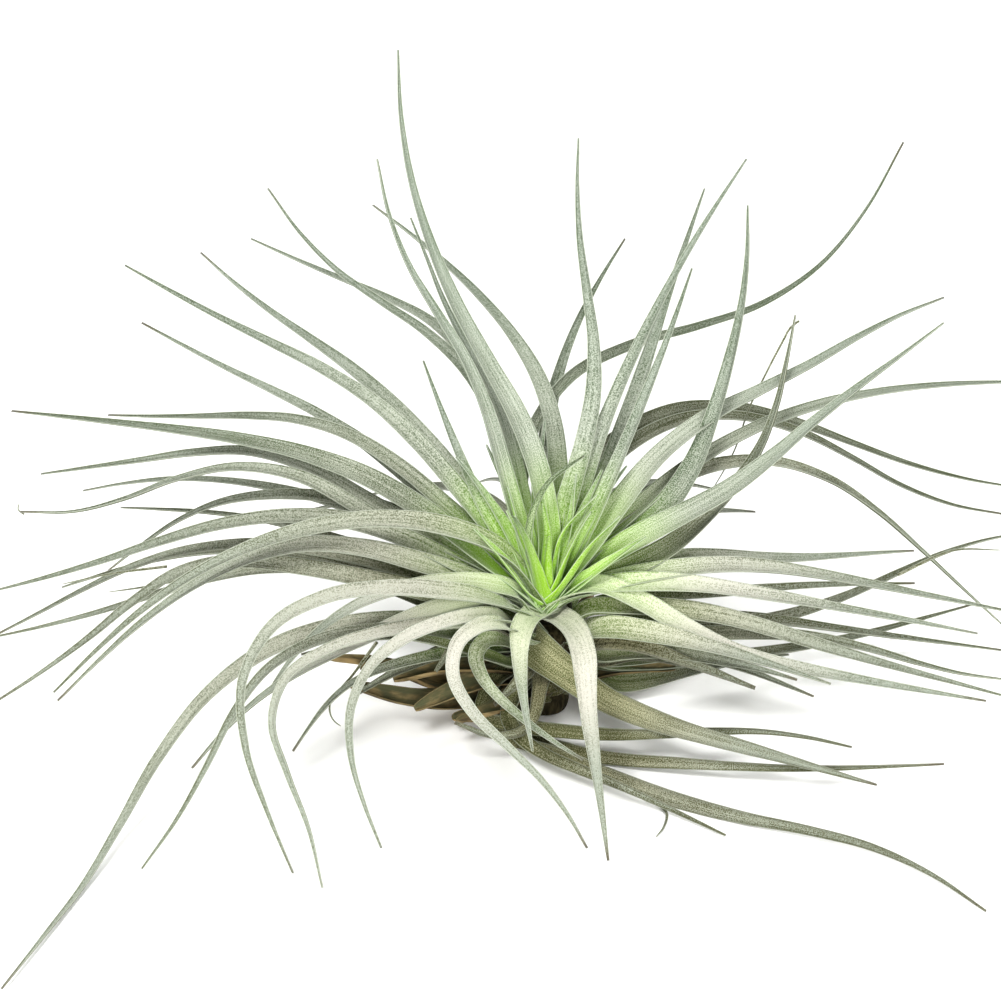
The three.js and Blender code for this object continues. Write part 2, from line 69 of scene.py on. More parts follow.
# ---- camera, set first: it looks at the middle of the view, tilted down like the photograph
cameraData = bpy.data.cameras.new("viewCamera")
cameraData.lens = view["lens"]
cameraData.sensor_width = 36
cameraData.clip_start, cameraData.clip_end = 0.01, 50
camera = bpy.data.objects.new("viewCamera", cameraData)
camera.location = eye / 1000
camera.rotation_euler = (math.pi / 2 - viewTilt, 0, 0)
bpy.context.scene.collection.objects.link(camera)
bpy.context.scene.camera = camera
print("camera set")

# ---- the leaves: kind, full width, how far back the middle and the tip are, path out to the tip ----
leafRows = [
    # upright and behind
    ["crown", 6.0, 12, 38,
     [0, 49], [-5, 67], [-13, 79], [-23.3, 100], [-29.5, 117], [-33, 129], [-34.8, 141], [-35, 156]],
    ["crown", 5.4, 6, 22, [-4, 36], [-12, 62], [-18, 82], [-28, 96], [-36.8, 114], [-40, 130]],
    ["crown", 3.8, 26, 60, [-7, 57], [-12, 76], [-20, 86], [-28, 107], [-32, 116]],
    ["crown", 5.4, 38, 84, [3, 57], [0, 75], [-10, 90.5], [-24, 105.5], [-41, 119]],
    ["crown", 4.2, 36, 76, [-7, 54], [-20, 82], [-41, 97], [-57, 110], [-66, 123]],
    ["crown", 4.6, 44, 94, [-9, 61], [-21, 87], [-46, 100], [-70, 111]],
    ["crown", 5.6, 30, 80, [-8, 36], [-18, 49], [-30, 65.5], [-53, 85.3], [-67, 94.5], [-82, 107.7]],
    ["crown", 5.2, 22, 60, [-9, 36], [-25, 56], [-38, 70.5], [-55, 81], [-72, 89.3], [-100, 104.7]],
    ["crown", 4.8, 30, 70, [-10, 33], [-27, 49], [-51, 68], [-66, 75], [-96, 91]],
    ["crown", 4.2, 10, 28, [-5, 32], [-13, 44], [-23, 66], [-29, 82]],
    ["crown", 5.4, 16, 48, [3, 41], [8.5, 60], [12.5, 78], [11.3, 90], [8, 112], [8, 135]],
    ["crown", 5.0, 46, 92, [0, 46], [0, 63], [2.5, 76], [9, 94], [19, 111]],
    ["crown", 4.6, 18, 50, [8, 49], [14, 67], [23, 87], [34, 108], [48, 130]],
    ["crown", 5.6, 30, 72, [8, 38], [16, 59], [24, 82], [30, 100], [38, 123]],
    ["crown", 5.0, 8, 26, [5, 32], [12, 46], [24, 74], [32, 95], [35, 104]],
    ["crown", 6.8, 12, 34, [8, 31], [20, 41], [33.5, 55.5], [42.5, 73], [48, 96], [48.3, 119]],
    ["crown", 3.4, 60, 112, [-6, 50], [-4, 68], [6, 79], [25, 87], [51, 95], [70, 108.5], [85.3, 134]],
    ["crown", 6.6, 16, 48, [11, 37], [21, 49], [32, 61.5], [64, 84], [95, 97]],
    ["crown", 6.6, 3, 12, [12, 33], [22, 40], [46, 52], [64, 68], [85, 83], [95, 91]],
    ["crown", 5.0, 22, 58, [10, 34], [23, 49], [39, 60], [60, 70], [92, 76], [118, 77]],
    ["crown", 6.6, 10, 28, [11, 29], [22.5, 31.5], [33, 39.5], [44, 51], [51, 61], [57, 74], [60.5, 92]],
    ["crown", 6.4, 14, 46, [-6, 28], [-15, 35], [-34, 50], [-57, 59.5], [-87, 65.2], [-127, 70]],
    ["crown", 4.6, 24, 62,
     [-8, 33], [-23, 46], [-41, 62], [-52, 66.5], [-66, 68.5], [-87, 68.5], [-104, 69]],
    ["crown", 5.2, 17, 46, [-9, 30], [-25, 38], [-42, 47], [-63, 58], [-87, 59], [-120, 55]],
    # to the left
    ["crown", 5.0, 12, 31,
     [-10, 27], [-40, 44], [-57, 54.3], [-81, 55.8], [-108, 46], [-120, 43], [-125, 46]],
    ["crown", 3.8, 28, 64, [-12, 30], [-50, 48], [-87, 54], [-110, 51]],
    ["left_leaf", 3.8, 30, 68, [-12, 24], [-45, 38], [-73, 45], [-101, 47]],
    ["crown", 4.8, 16, 38, [-12, 29], [-40, 48], [-56, 52], [-66, 52], [-87, 44], [-104, 32]],
    ["crown", 5.6, 6, 18, [-12, 27], [-30, 38], [-54, 44], [-78, 43], [-102, 35], [-132, 27]],
    ["left_leaf", 4.6, 12, 28, [-12, 22], [-40, 34], [-69, 38], [-90, 36], [-118, 23], [-132, 16]],
    ["left_leaf", 5.0, -3, -5, [-12, 19], [-45, 33], [-81, 35], [-96, 25], [-118, 9], [-132, 0]],
    ["crown", 5.8, -8, -20, [-4, 29], [-13, 39], [-40, 44], [-69, 38], [-93, 25], [-117, 3]],
    ["crown", 5.8, -5, -12, [-6, 25], [-18, 30], [-46, 36], [-78, 32], [-102, 14], [-116, 1]],
    ["left_leaf", 4.0, 4, 9, [-12, 17], [-45, 31], [-72, 32], [-93, 26], [-110, 21], [-132, 16]],
    ["left_leaf", 4.2, 22, 48, [-12, 20], [-60, 36], [-90, 35], [-115, 28]],
    ["left_leaf", 5.4, 10, 24, [-11, 20], [-38, 28], [-57, 33], [-75, 32]],
    ["crown", 5.6, -13, -28, [-4, 22], [-8, 28], [-19, 29], [-40, 26], [-58, 14], [-66, 3]],
    ["crown", 5.4, -20, -50, [-3, 21], [-10, 25], [-22, 24], [-46, 14], [-69, 1], [-84, -15]],
    ["left_leaf", 3.6, -18, -22, [2, 7], [-7, 10], [-22, 14], [-34, 17], [-58, 12]],
    # to the right
    ["crown", 4.0, 46, 86, [6, 52], [22, 68], [42, 71], [61, 66.5], [94, 55], [106, 52.3], [114, 51.5]],
    ["crown", 4.0, 42, 80,
     [7, 46], [15, 59], [30, 67.5], [45, 68.5], [65, 63.3], [84, 52.5], [98, 46.5], [110, 45.3]],
    ["crown", 4.4, 20, 30, [12, 40], [37, 56.5], [52, 58.5], [66, 54.5], [80, 45], [90, 36], [109, 19]],
    ["crown", 5.0, 10, 26, [11, 29], [20, 33], [33, 36], [52, 34.7], [88, 37]],
    ["crown", 6.0, 2, 8, [11, 27], [25, 30.5], [49, 33], [78, 28.5], [112, 22]],
    ["right_leaf", 4.0, 20, 56, [10, 16], [37, 18], [61, 22], [80, 29.5], [99, 38], [114, 41]],
    ["right_leaf", 3.6, 12, 28, [12, 24], [39, 26.5], [62, 28.5], [88, 29]],
    ["crown", 5.4, -4, -5, [8, 27], [17, 28.5], [33, 29], [59, 25], [82, 21], [103, 17]],
    ["right_leaf", 5.4, -5, -12, [9, 25], [25, 24], [46, 20], [73, 12], [110, 2]],
    ["crown", 5.8, -12, -26, [4, 26], [12, 28], [20, 26], [36, 16], [60, 9], [105, 1]],
    ["right_leaf", 6.4, -14, -30, [12, 19], [22, 18], [46, 12], [68, 5]],
    ["right_leaf", 5.8, -8, -18, [11, 12], [28, 12], [46, 10], [60, 6]],
    ["right_leaf", 4.4, 10, 22, [13, 18], [45, 21], [62, 19], [109, 13]],
    ["right_leaf", 4.6, -2, -6, [12, 14], [45, 17], [71, 15], [99, 7], [110, 6]],
    ["right_leaf", 4.2, 12, 40, [12, 9], [40, 11], [68, 15], [84, 19], [102, 24]],
    ["right_leaf", 6.0, 4, 16, [12, 8], [19, 5], [25, 6], [44, 10], [58, 12]],
    ["right_leaf", 4.4, -6, -16, [13, 12], [30, 13], [46, 9], [64, 2]],
    # low, lying forward on the surface
    ["low_leaf", 7.0, -30, -38, [2, 11.5], [9.5, 4.3], [19, -1], [30, -5.2], [48, -10.2], [79, -19]],
    ["low_leaf", 4.2, -24, -26, [-17, 0], [-15, -2.5], [-6, -4], [3, -6], [25, -6.8], [52, -6], [73, -10]],
    ["low_leaf", 3.8, -30, -34, [-8, -3], [0, -9.5], [12, -12.2], [25, -13], [57, -15], [95, -14]],
    ["low_leaf", 5.4, -40, -76,
     [-14, -2], [-13, -6], [0, -10.5], [9.5, -14.3], [28, -22], [62, -30], [83, -34.7], [105, -49]],
    ["low_leaf", 3.6, -34, -50, [-9, -4], [-2, -10.5], [8, -15], [25, -22.5], [43, -31]],
    # arching forward
    ["front_leaf", 4.4, -50, -62, [-6, 19], [-13, 20], [-21, 15], [-23, 7], [-16, -3], [0, -18], [10, -34]],
    ["crown", 5.0, -30, -46, [-2, 20], [-5, 19], [-6, 10], [-5, 0], [-3, -11]],
    ["crown", 5.6, -46, -64, [3, 20], [7, 19], [9, 12], [10, 0], [12, -14], [15, -37]],
    ["front_leaf", 4.6, -27, -38, [-8, 17], [-16, 15], [-17, 10], [-10, 1], [1, -8], [9, -13]],
    ["front_leaf", 4.6, -42, -62,
     [-8, 21], [-22, 20], [-34, 15], [-44, 7], [-47, -5], [-44, -20], [-39, -34]],
    ["front_leaf", 3.8, -18, -36, [-10, 14], [-30, 11], [-48, 4], [-60, -11]],
    ["front_leaf", 5.2, -42, -68,
     [-8, 23], [-28, 27], [-52, 25.5], [-67, 18], [-73.5, 4], [-72, -6], [-66, -24], [-60, -40]],
    ["front_leaf", 4.6, -40, -74,
     [-9, 18], [-34, 18], [-59, 9], [-68, -1], [-60, -15], [-55, -32], [-53, -43.5]],
    ["front_leaf", 5.0, -30, -98,
     [-9, 17], [-34, 20], [-63, 15], [-87, -4.5], [-104.3, -35.5], [-129.3, -67.5]],
    ["front_leaf", 4.2, -36, -72, [-9, 15], [-40, 17], [-66, 10], [-75, -4], [-85, -24], [-96, -39]],
    # dead, low on the stem
    ["dead_leaves", 7.0, 0, -2, [-25, 5], [-40, 10], [-51, 11]],
    ["dead_leaves", 6.6, -8, -14, [-14, 2], [-25, 1], [-35, 2], [-47, 5]],
    ["dead_leaves", 6.4, -8, -14, [-9, -1], [-22, -3]],
    ["dead_leaves", 6.2, 12, 28, [12, 8], [30, 14], [42, 17]],
    ["dead_leaves", 6.2, 20, 42, [-6, 12], [-14, 20], [-22, 24]],
    ["dead_leaves", 6.0, 24, 50, [3, 12], [8, 22], [11, 26]],
    # away behind, where the others hide them
    ["back_leaf", 5.0, 46, 100, [-6, 40], [-16, 50], [-28, 52], [-42, 50]],
    ["crown", 4.6, 50, 112, [-3, 42], [-8, 52], [-12, 54], [-16, 53]],
    ["crown", 5.0, 52, 110, [2, 40], [6, 50], [10, 53], [16, 52]],
    ["back_leaf", 4.6, 50, 104, [6, 38], [16, 50], [28, 53], [42, 51]],
    ["back_leaf", 4.8, 40, 92, [-9, 34], [-28, 45], [-44, 48], [-58, 46]],
    ["back_leaf", 4.8, 38, 90, [10, 32], [26, 42], [38, 46], [50, 46]],
    ["back_leaf", 4.6, 44, 96, [0, 36], [-2, 44], [-4, 47], [-6, 45]],
]

# ---- how leaves are laid out and bent clear of each other, as in the CAD source ----
layout = {
    "stations": 11, "firstMark": 1.45, "rootThick": 0.8, "tipThick": 0.62, "rootShare": 0.4,
    "fullWidthAt": 0.14, "tipWidth": 0.8, "lowest": 1.3, "clearance": 0.7, "slopeRoom": 0.12,
    "stemRoom": 11.5, "belowStemTop": 25, "rounds": 260, "fusedStations": 3,
}
# where the leaves of each kind fan out from, how far from it they start, and how they narrow
bases = {
    "crown": {"centre": (0, 0, 26), "start": 2, "taper": 0.85},
    "dead_leaves": {"centre": (0, 0, 4), "start": 6.9, "taper": 0.45},
    "single": {"centre": (0, 0, 16), "start": 9.35, "taper": 0.85},
}


def unit(vectors):
    return vectors / np.linalg.norm(vectors, axis=-1, keepdims=True)


def smooth(x):
    x = np.clip(x, 0, 1)
    return x * x * (3 - 2 * x)


# a centripetal Catmull-Rom curve through the places, sampled at equal lengths along it
def evenCurve(places, samples):
    places = np.asarray(places, float)
    ends = [2 * places[:1] - places[1:2], places, 2 * places[-1:] - places[-2:-1]]
    p = np.concatenate(ends)

    def at(t):
        place = t * (len(places) - 1)
        i = np.minimum(place.astype(int), len(places) - 2)
        w = (place - i)[:, None]
        x0, x1, x2, x3 = p[i], p[i + 1], p[i + 2], p[i + 3]
        gap0, gap1, gap2 = [
            np.sqrt(np.linalg.norm(b - a, axis=1))[:, None] for a, b in ((x0, x1), (x1, x2), (x2, x3))
        ]
        slope1 = ((x1 - x0) / gap0 - (x2 - x0) / (gap0 + gap1) + (x2 - x1) / gap1) * gap1
        slope2 = ((x2 - x1) / gap1 - (x3 - x1) / (gap1 + gap2) + (x3 - x2) / gap2) * gap1
        square = -3 * x1 + 3 * x2 - 2 * slope1 - slope2
        cube = 2 * x1 - 2 * x2 + slope1 + slope2
        return x1 + slope1 * w + square * w**2 + cube * w**3

    t = np.linspace(0, 1, 201)
    steps = np.linalg.norm(np.diff(at(t), axis=0), axis=1)
    along = np.concatenate([[0], np.cumsum(steps)])
    return at(np.interp(np.linspace(0, along[-1], samples), along, t))


# the ten marks of a leaf, evenly spaced in space: its path is seen in the plane of view, and its
# depth follows a parabola through the middle and the tip, or the surface where that is higher
def layOut(row):
    kind, width, middleBack, tipBack, *path = row
    base = bases.get(kind, bases["single"])
    centre = np.array(base["centre"], float)
    places = evenCurve([[0, centre[2] * viewUp[2]], *path], 81)
    right, up = places.T
    share = np.linspace(0, 1, 81)
    back = share * (4 * middleBack - tipBack) + share**2 * (2 * tipBack - 4 * middleBack)
    plane = planePoint(right, up)
    near = np.maximum(nearWhere(plane, 1, back), nearWhere(plane, 2, layout["lowest"]))
    points = seen(right, up, near)
    kept = np.linalg.norm(points - centre, axis=1) >= base["start"] * layout["firstMark"]
    fine = np.stack([right, up, near], axis=1)[kept]
    steps = np.linalg.norm(np.diff(points[kept], axis=0), axis=1)
    along = np.concatenate([[0], np.cumsum(steps)])
    target = np.linspace(0, along[-1], layout["stations"] - 1)
    return seen(*[np.interp(target, along, fine[:, i]) for i in range(3)])


# what stands before and after each entry along a leaf; an end is its own neighbour
def neighbours(values):
    before = np.concatenate([values[:, :1], values[:, :-1]], axis=1)
    after = np.concatenate([values[:, 1:], values[:, -1:]], axis=1)
    return before, after


# middle lines of all leaves: the root faces its centre, and a blade's side is carried along untwisted
def findLines(marks, centres, starts):
    out = unit(marks[:, 0] - centres)
    points = np.concatenate([(centres + out * starts[:, None])[:, None], marks], axis=1)
    before, after = neighbours(points)
    tangents = unit(after - before)
    tangents[:, 0] = out
    side = unit(np.cross([0, 0, 1], out))
    sides = [side]
    for k in range(1, points.shape[1]):
        side = unit(side - tangents[:, k] * np.sum(side * tangents[:, k], axis=1, keepdims=True))
        sides.append(side)
    sides = np.stack(sides, axis=1)
    return points, tangents, sides, unit(np.cross(tangents, sides))


def cadWidth(width, taper, share):
    swell = layout["rootShare"] + (1 - layout["rootShare"]) * smooth(share / layout["fullWidthAt"])
    return layout["tipWidth"] + (width * swell - layout["tipWidth"]) * (1 - share) ** taper


# segments of two leaves that pass too close push each other apart, square to their faces
def bendClear(marks, centres, starts, widths, tapers, kinds):
    count, last = len(marks), layout["stations"] - 1
    leafOf, segmentOf = [a.ravel() for a in np.mgrid[0:count, 0:last]]
    fused = np.isin(kinds, ["crown", "dead_leaves"])
    firstRow, secondRow = np.triu_indices(count * last, 1)
    a, b = leafOf[firstRow], leafOf[secondRow]
    sameNode = (kinds[a] == kinds[b]) & fused[a]
    inner = np.minimum(segmentOf[firstRow], segmentOf[secondRow]) < layout["fusedStations"]
    usable = (a != b) & ~(sameNode & inner)
    firstRow, secondRow = firstRow[usable], secondRow[usable]
    for step in range(layout["rounds"]):
        points, _, _, faces = findLines(marks, centres, starts)
        heads, ends = points[:, :-1].reshape(-1, 3), points[:, 1:].reshape(-1, 3)
        if step % 10 == 0:  # which segments could meet within the next rounds
            low, high = np.minimum(heads, ends) - 8, np.maximum(heads, ends) + 8
            near = np.all((low[firstRow] < high[secondRow]) & (low[secondRow] < high[firstRow]), axis=1)
            rowA, rowB = firstRow[near], secondRow[near]
            leafA, leafB, partA, partB = leafOf[rowA], leafOf[rowB], segmentOf[rowA], segmentOf[rowB]
        alongA, alongB = ends[rowA] - heads[rowA], ends[rowB] - heads[rowB]
        apart = heads[rowA] - heads[rowB]
        pairs = ((alongA, alongA), (alongB, alongB), (alongA, alongB))
        aa, bb, ab = [np.sum(u * v, axis=1) for u, v in pairs]
        fa, fb = np.sum(alongA * apart, axis=1), np.sum(alongB * apart, axis=1)
        spread = aa * bb - ab * ab
        s = np.clip((ab * fb - bb * fa) / np.maximum(spread, 1e-6), 0, 1)
        s = np.where(spread > 1e-6, s, 0.5)
        t = np.clip((ab * s + fb) / bb, 0, 1)
        s = np.clip((ab * t - fa) / aa, 0, 1)
        apart = apart + alongA * s[:, None] - alongB * t[:, None]
        shareA, shareB = (partA + s) / last, (partB + t) / last
        widthA = cadWidth(widths[leafA], tapers[leafA], shareA)
        bothWidths = widthA + cadWidth(widths[leafB], tapers[leafB], shareB)
        sideRoom = bothWidths / 2 + layout["clearance"]
        faceA, faceB = faces[leafA, partA], faces[leafB, partB]
        agree = np.where(np.sum(faceA * faceB, axis=1) < 0, -1, 1)[:, None]
        face = unit(faceA + faceB * agree)
        over = np.sum(apart * face, axis=1)
        beside = np.linalg.norm(apart - face * over[:, None], axis=1)
        thick = layout["rootThick"] + (layout["tipThick"] - layout["rootThick"]) * (shareA + shareB) / 2
        faceRoom = thick + layout["clearance"] + bothWidths * layout["slopeRoom"]
        lack = faceRoom * np.sqrt(np.maximum(1 - (beside / sideRoom) ** 2, 0)) - np.abs(over)
        lack[(beside > sideRoom) | (lack <= 0)] = 0
        push = face * (np.where(over < 0, -lack, lack) / 2)[:, None]
        pushes = np.zeros((count, last + 1, 3))  # the first belongs to the root, which keeps its place
        np.add.at(pushes, (leafA, partA), push * (1 - s)[:, None])
        np.add.at(pushes, (leafA, partA + 1), push * s[:, None])
        np.add.at(pushes, (leafB, partB), -push * (1 - t)[:, None])
        np.add.at(pushes, (leafB, partB + 1), -push * t[:, None])
        own = pushes[:, 1:]
        before, after = neighbours(own)
        marks = marks + own / 2 + (before + after) / 4
        fromAxis = np.hypot(marks[..., 0], marks[..., 1])
        close = (marks[..., 2] < layout["belowStemTop"]) & (fromAxis < layout["stemRoom"])
        marks[..., :2] *= np.where(close, layout["stemRoom"] / fromAxis, 1)[..., None]
        marks[..., 2] = np.maximum(marks[..., 2], layout["lowest"])
    return marks


kinds = np.array([row[0] for row in leafRows])
widths = np.array([row[1] for row in leafRows], float)
leafBases = [bases.get(kind, bases["single"]) for kind in kinds]
centres = np.array([base["centre"] for base in leafBases], float)
starts = np.array([base["start"] for base in leafBases], float)
tapers = np.array([base["taper"] for base in leafBases], float)
laidOut = np.array([layOut(row) for row in leafRows])
marks = bendClear(laidOut, centres, starts, widths, tapers, kinds)


# takes the small zigzags out of the lines: each mark goes towards the middle of its neighbours and then,
# a little farther, away from it, which leaves the long curves as they are
def evenOut(marks, centres, times):
    # the first mark stays where it is, and the second moves half as far as the rest
    freedom = np.array([0, 0.5] + [1] * 7)[None, :, None]
    for share in (0.5, -0.52) * times:
        before = np.concatenate([centres[:, None], marks[:, :-2]], axis=1)
        marks[:, :-1] += share * ((before + marks[:, 1:]) / 2 - marks[:, :-1]) * freedom
    marks[..., 2] = np.maximum(marks[..., 2], layout["lowest"])
    return marks


# the fine blades need less room than the CAD ones, so they keep closer to where they are seen
marks = evenOut(laidOut + (marks - laidOut) * 0.5, centres, 3)
linePoints, _, lineSides, _ = findLines(marks, centres, starts)
print("leaves laid out", len(leafRows))


# ---- helpers for meshes and materials ----
# a colour given as sRGB hex, as linear red, green, blue and 1
def toLinear(hexCode):
    parts = np.array([int(hexCode[i:i + 2], 16) for i in (1, 3, 5)]) / 255
    linear = np.where(parts <= 0.04045, parts / 12.92, ((parts + 0.055) / 1.055) ** 2.4)
    return (*linear.tolist(), 1.0)


# adds a node, sets its properties and its sockets, in order or by name, links a socket where the value
# is one, and hands back one of its outputs; i6 is socket 6, and a text value is a colour
def addNode(tree, kind, settings=None, *values, output=0, **sockets):
    node = tree.nodes.new("ShaderNode" + kind)
    for key, value in (settings or {}).items():
        setattr(node, key, value)
    named = {int(key[1:]) if key[1:].isdigit() else key.replace("_", " "): sockets[key] for key in sockets}
    for key, value in {**dict(enumerate(values)), **named}.items():
        if isinstance(value, bpy.types.NodeSocket):
            tree.links.new(value, node.inputs[key])
        else:
            node.inputs[key].default_value = toLinear(value) if isinstance(value, str) else value
    return node.outputs[output] if node.outputs else node


# settings that many nodes share
product, clamped = {"operation": "MULTIPLY"}, {"operation": "MULTIPLY", "use_clamp": True}
easing, layering = {"interpolation_type": "SMOOTHSTEP"}, {"data_type": "RGBA"}


def newMaterial(name):
    material = bpy.data.materials.new(name)
    material.use_nodes = True
    material.node_tree.nodes.clear()
    return material, material.node_tree


# a mesh object from points in millimetres, faces and named point attributes
def makePiece(name, points, faces, material, attributes=None):
    mesh = bpy.data.meshes.new(name)
    mesh.from_pydata((np.asarray(points) / 1000).tolist(), [], faces)
    for key, values in (attributes or {}).items():
        attribute = mesh.attributes.new(key, "FLOAT_VECTOR", "POINT")
        attribute.data.foreach_set("vector", np.ascontiguousarray(values, dtype=np.float32).ravel())
    mesh.materials.append(material)
    mesh.shade_smooth()
    mesh.update()
    piece = bpy.data.objects.new(name, mesh)
    bpy.context.scene.collection.objects.link(piece)
    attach(piece, "root")
    return piece


# quads of a grid whose rows are closed loops, with a face at each end
def tubeFaces(rows, columns, first=0):
    row, column = np.mgrid[0:rows - 1, 0:columns]
    a = first + row * columns + column
    b = first + row * columns + (column + 1) % columns
    quads = np.stack([a, b, b + columns, a + columns], axis=-1).reshape(-1, 4).tolist()
    ring = np.arange(columns)
    return quads + [(first + ring[::-1]).tolist(), (first + (rows - 1) * columns + ring).tolist()]


# what a blade keeps at each of its points: mm across, mm along, 0 above to 1 below; share of its length,
# age, tone; mm from the nearer edge, full width, how bare of felt, which on some leaves also paints shade
# and on others light
def bladeValues(tree):
    values = []
    for name in ("blade", "growth", "rim"):
        kept = addNode(tree, "Attribute", {"attribute_name": name}, output="Vector")
        values += addNode(tree, "SeparateXYZ", None, kept).node.outputs
    return values


# ---- silver leaf: living blades under a felt of white scales, green where the felt is young and thin
# The scales are cup-shaped hairs 0.2 to 0.4 mm across that lie flat, so the blade is matt and speckled.
silverLeaf = {
    "heartGreen": "#86b31e", "heartShadeGreen": "#4f721a", "youngGreen": "#c4da98",
    "leafGreen": "#3a4c30", "oldOlive": "#42401d",
    "scales": "#aeb3a5", "farScales": "#878f84", "oldScales": "#a2a18f", "thickAndLitScales": "#c8c4ba",
    "baseScales": "#b0ac84", "rim": "#d2d8c6", "tip": "#5f5848",
    "scaleSize": 0.24, "streakWidth": 0.34, "streakLength": 34, "greenNear": 8, "greenReach": 45,
}


def buildSilverLeaf():
    look = silverLeaf
    material, tree = newMaterial("silver leaf, scaled")
    across, along, below, share, age, tone, fromRim, _, bare = bladeValues(tree)
    lift = addNode(tree, "Math", product, tone, 97.0)
    own = addNode(tree, "CombineXYZ", None, across, along, lift)

    # mm across, mm along, detail and roughness of each pattern
    patterns = {
        "grain": (look["scaleSize"], look["scaleSize"], 1.5, 0.6),
        "streak": (look["streakWidth"], look["streakLength"], 2.0, 0.5),
        "cloud": (3.5, 11, 2.0, 0.5),
    }
    noise = {}
    for name, (wide, long, detail, roughness) in patterns.items():
        stretched = addNode(tree, "VectorMath", product, own, (1 / wide, 1 / long, 1.0))
        noise[name] = addNode(
            tree, "TexNoise", None, Vector=stretched, Scale=1.0, Detail=detail, Roughness=roughness,
        )

    place = addNode(tree, "TexCoord", output="Object")
    fromHeart, fromStem = [
        addNode(tree, "VectorMath", {"operation": "DISTANCE"}, place, (0, 0, height), output="Value")
        for height in (0.026, 0.014)
    ]

    # what goes smoothly from one value to another: what it follows, between which limits, the two values
    courses = {
        "green": (fromHeart, look["greenNear"] / 1000, look["greenReach"] / 1000, 1.0, 0.0),
        "youth": (age, 0.15, 0.95, 1.0, 0.0), "opened": (age, 0.02, 0.2, 0.0, 1.0),
        "nearStem": (fromStem, 0.016, 0.06, 0.7, 0.0), "grown": (age, 0.62, 0.8, 0.0, 1.0),
        "far": (share, 0.2, 0.8, 0.0, 0.75), "inner": (share, 0.35, 0.8, 1.0, 0.0),
        "speckled": (noise["grain"], 0.38, 0.62, -0.42, 0.34),
        "streaked": (noise["streak"], 0.34, 0.66, -0.2, 0.16),
        "clouded": (noise["cloud"], 0.3, 0.7, -0.08, 0.08),
        # the felt thins on the under side of a blade: painted shade
        "shadeBelow": (below, 0.2, 0.8, 0.8, 0.48), "edge": (fromRim, 0.05, 0.45, 0.45, 0.0),
        # on older leaves the felt thins near the stem: partly bare leaf bases, partly painted shade between
        # the crowded leaves
        "crowdedShade": (fromStem, 0.014, 0.05, 0.3, 0.0), "worn": (age, 0.5, 0.8, 0.4, 1.0),
        "paleEdge": (fromRim, 0.03, 0.15, 0.5, 0.0), "fresh": (age, 0.6, 1.0, 1.0, 0.3),
        "end": (share, 0.93, 1.0, 0.0, 1.0), "endTone": (tone, 0.2, 0.8, 0.1, 0.8),
        "notNew": (age, 0.0, 0.3, 0.0, 1.0),
    }
    at = {name: addNode(tree, "MapRange", easing, *course) for name, course in courses.items()}
    greenYoung, shaded, atBase, bareBaseAndShade, paleRim, dying = [
        addNode(tree, "Math", product, at[first], second)
        for first, second in (
            ("green", at["youth"]), ("opened", below), ("nearStem", at["grown"]),
            ("crowdedShade", at["worn"]), ("paleEdge", at["fresh"]), ("end", at["endTone"]),
        )
    ]
    dying = addNode(tree, "Math", product, dying, at["notNew"])
    # felt thicker and paler where bareness is below nought: partly real felt, partly painted light on the
    # bright front leaves
    extra = addNode(tree, "Math", clamped, bare, -5.0)
    thickFeltAndLight = addNode(tree, "Math", product, extra, at["inner"])
    edgeKept = addNode(tree, "MapRange", easing, greenYoung, 0.2, 0.7, 1.0, 0.3)

    # how thick the felt lies: speckled, streaked, clouded; thinner below, which is painted shade on the
    # under sides; thinner at the rims, partly thin felt and partly painted shade along the edges; thinner at
    # the heart; thinner near the stem, partly bare old leaf bases and partly painted shade where the leaves
    # cover each other; and set by each leaf's bareness, which on some leaves also paints shade and on others
    # light
    # the felt thins at the rims of the blades: partly thin felt, partly painted shade that outlines them
    rimFeltAndShade = addNode(tree, "Math", product, at["edge"], edgeKept)
    felt = at["speckled"]
    for amount, times in (
        (at["streaked"], 1.0), (at["clouded"], 1.0), (at["shadeBelow"], 1.0), (bare, -1.0),
        (thickFeltAndLight, 0.25), (rimFeltAndShade, -1.0), (bareBaseAndShade, -1.0), (greenYoung, -0.3),
    ):
        felt = addNode(tree, "Math", {"operation": "MULTIPLY_ADD"}, amount, times, felt)
    felt.node.use_clamp = True

    # colours laid over each other, each as far as its share
    # the heart is a darker green below: painted shade on its under sides
    heart = addNode(tree, "Mix", layering, shaded, i6=look["heartGreen"], i7=look["heartShadeGreen"], output=2)
    flesh, scales = look["leafGreen"], look["scales"]
    for amount, over in ((age, look["oldOlive"]), (greenYoung, heart)):
        flesh = addNode(tree, "Mix", layering, amount, i6=flesh, i7=over, output=2)
    for amount, over in (
        (age, look["oldScales"]), (atBase, look["baseScales"]), (at["far"], look["farScales"]),
        (thickFeltAndLight, look["thickAndLitScales"]), (greenYoung, look["youngGreen"]),
    ):
        scales = addNode(tree, "Mix", layering, amount, i6=scales, i7=over, output=2)
    colour = flesh
    for amount, over in ((felt, scales), (paleRim, look["rim"]), (dying, look["tip"])):
        colour = addNode(tree, "Mix", layering, amount, i6=colour, i7=over, output=2)

    grainHeight = addNode(tree, "Math", product, noise["grain"], 0.6)
    height = addNode(tree, "Math", {"operation": "ADD"}, grainHeight, noise["streak"])
    bump = addNode(tree, "Bump", None, Strength=0.8, Distance=0.00018, Height=height)
    shader = addNode(
        tree, "BsdfPrincipled", None, Base_Color=colour, Roughness=0.78, Normal=bump,
        Sheen_Weight=0.25, Sheen_Roughness=0.4, Specular_IOR_Level=0.35,
    )
    addNode(tree, "OutputMaterial", None, Surface=shader)
    return material


leafMaterial = buildSilverLeaf()
print("silver leaf material made")

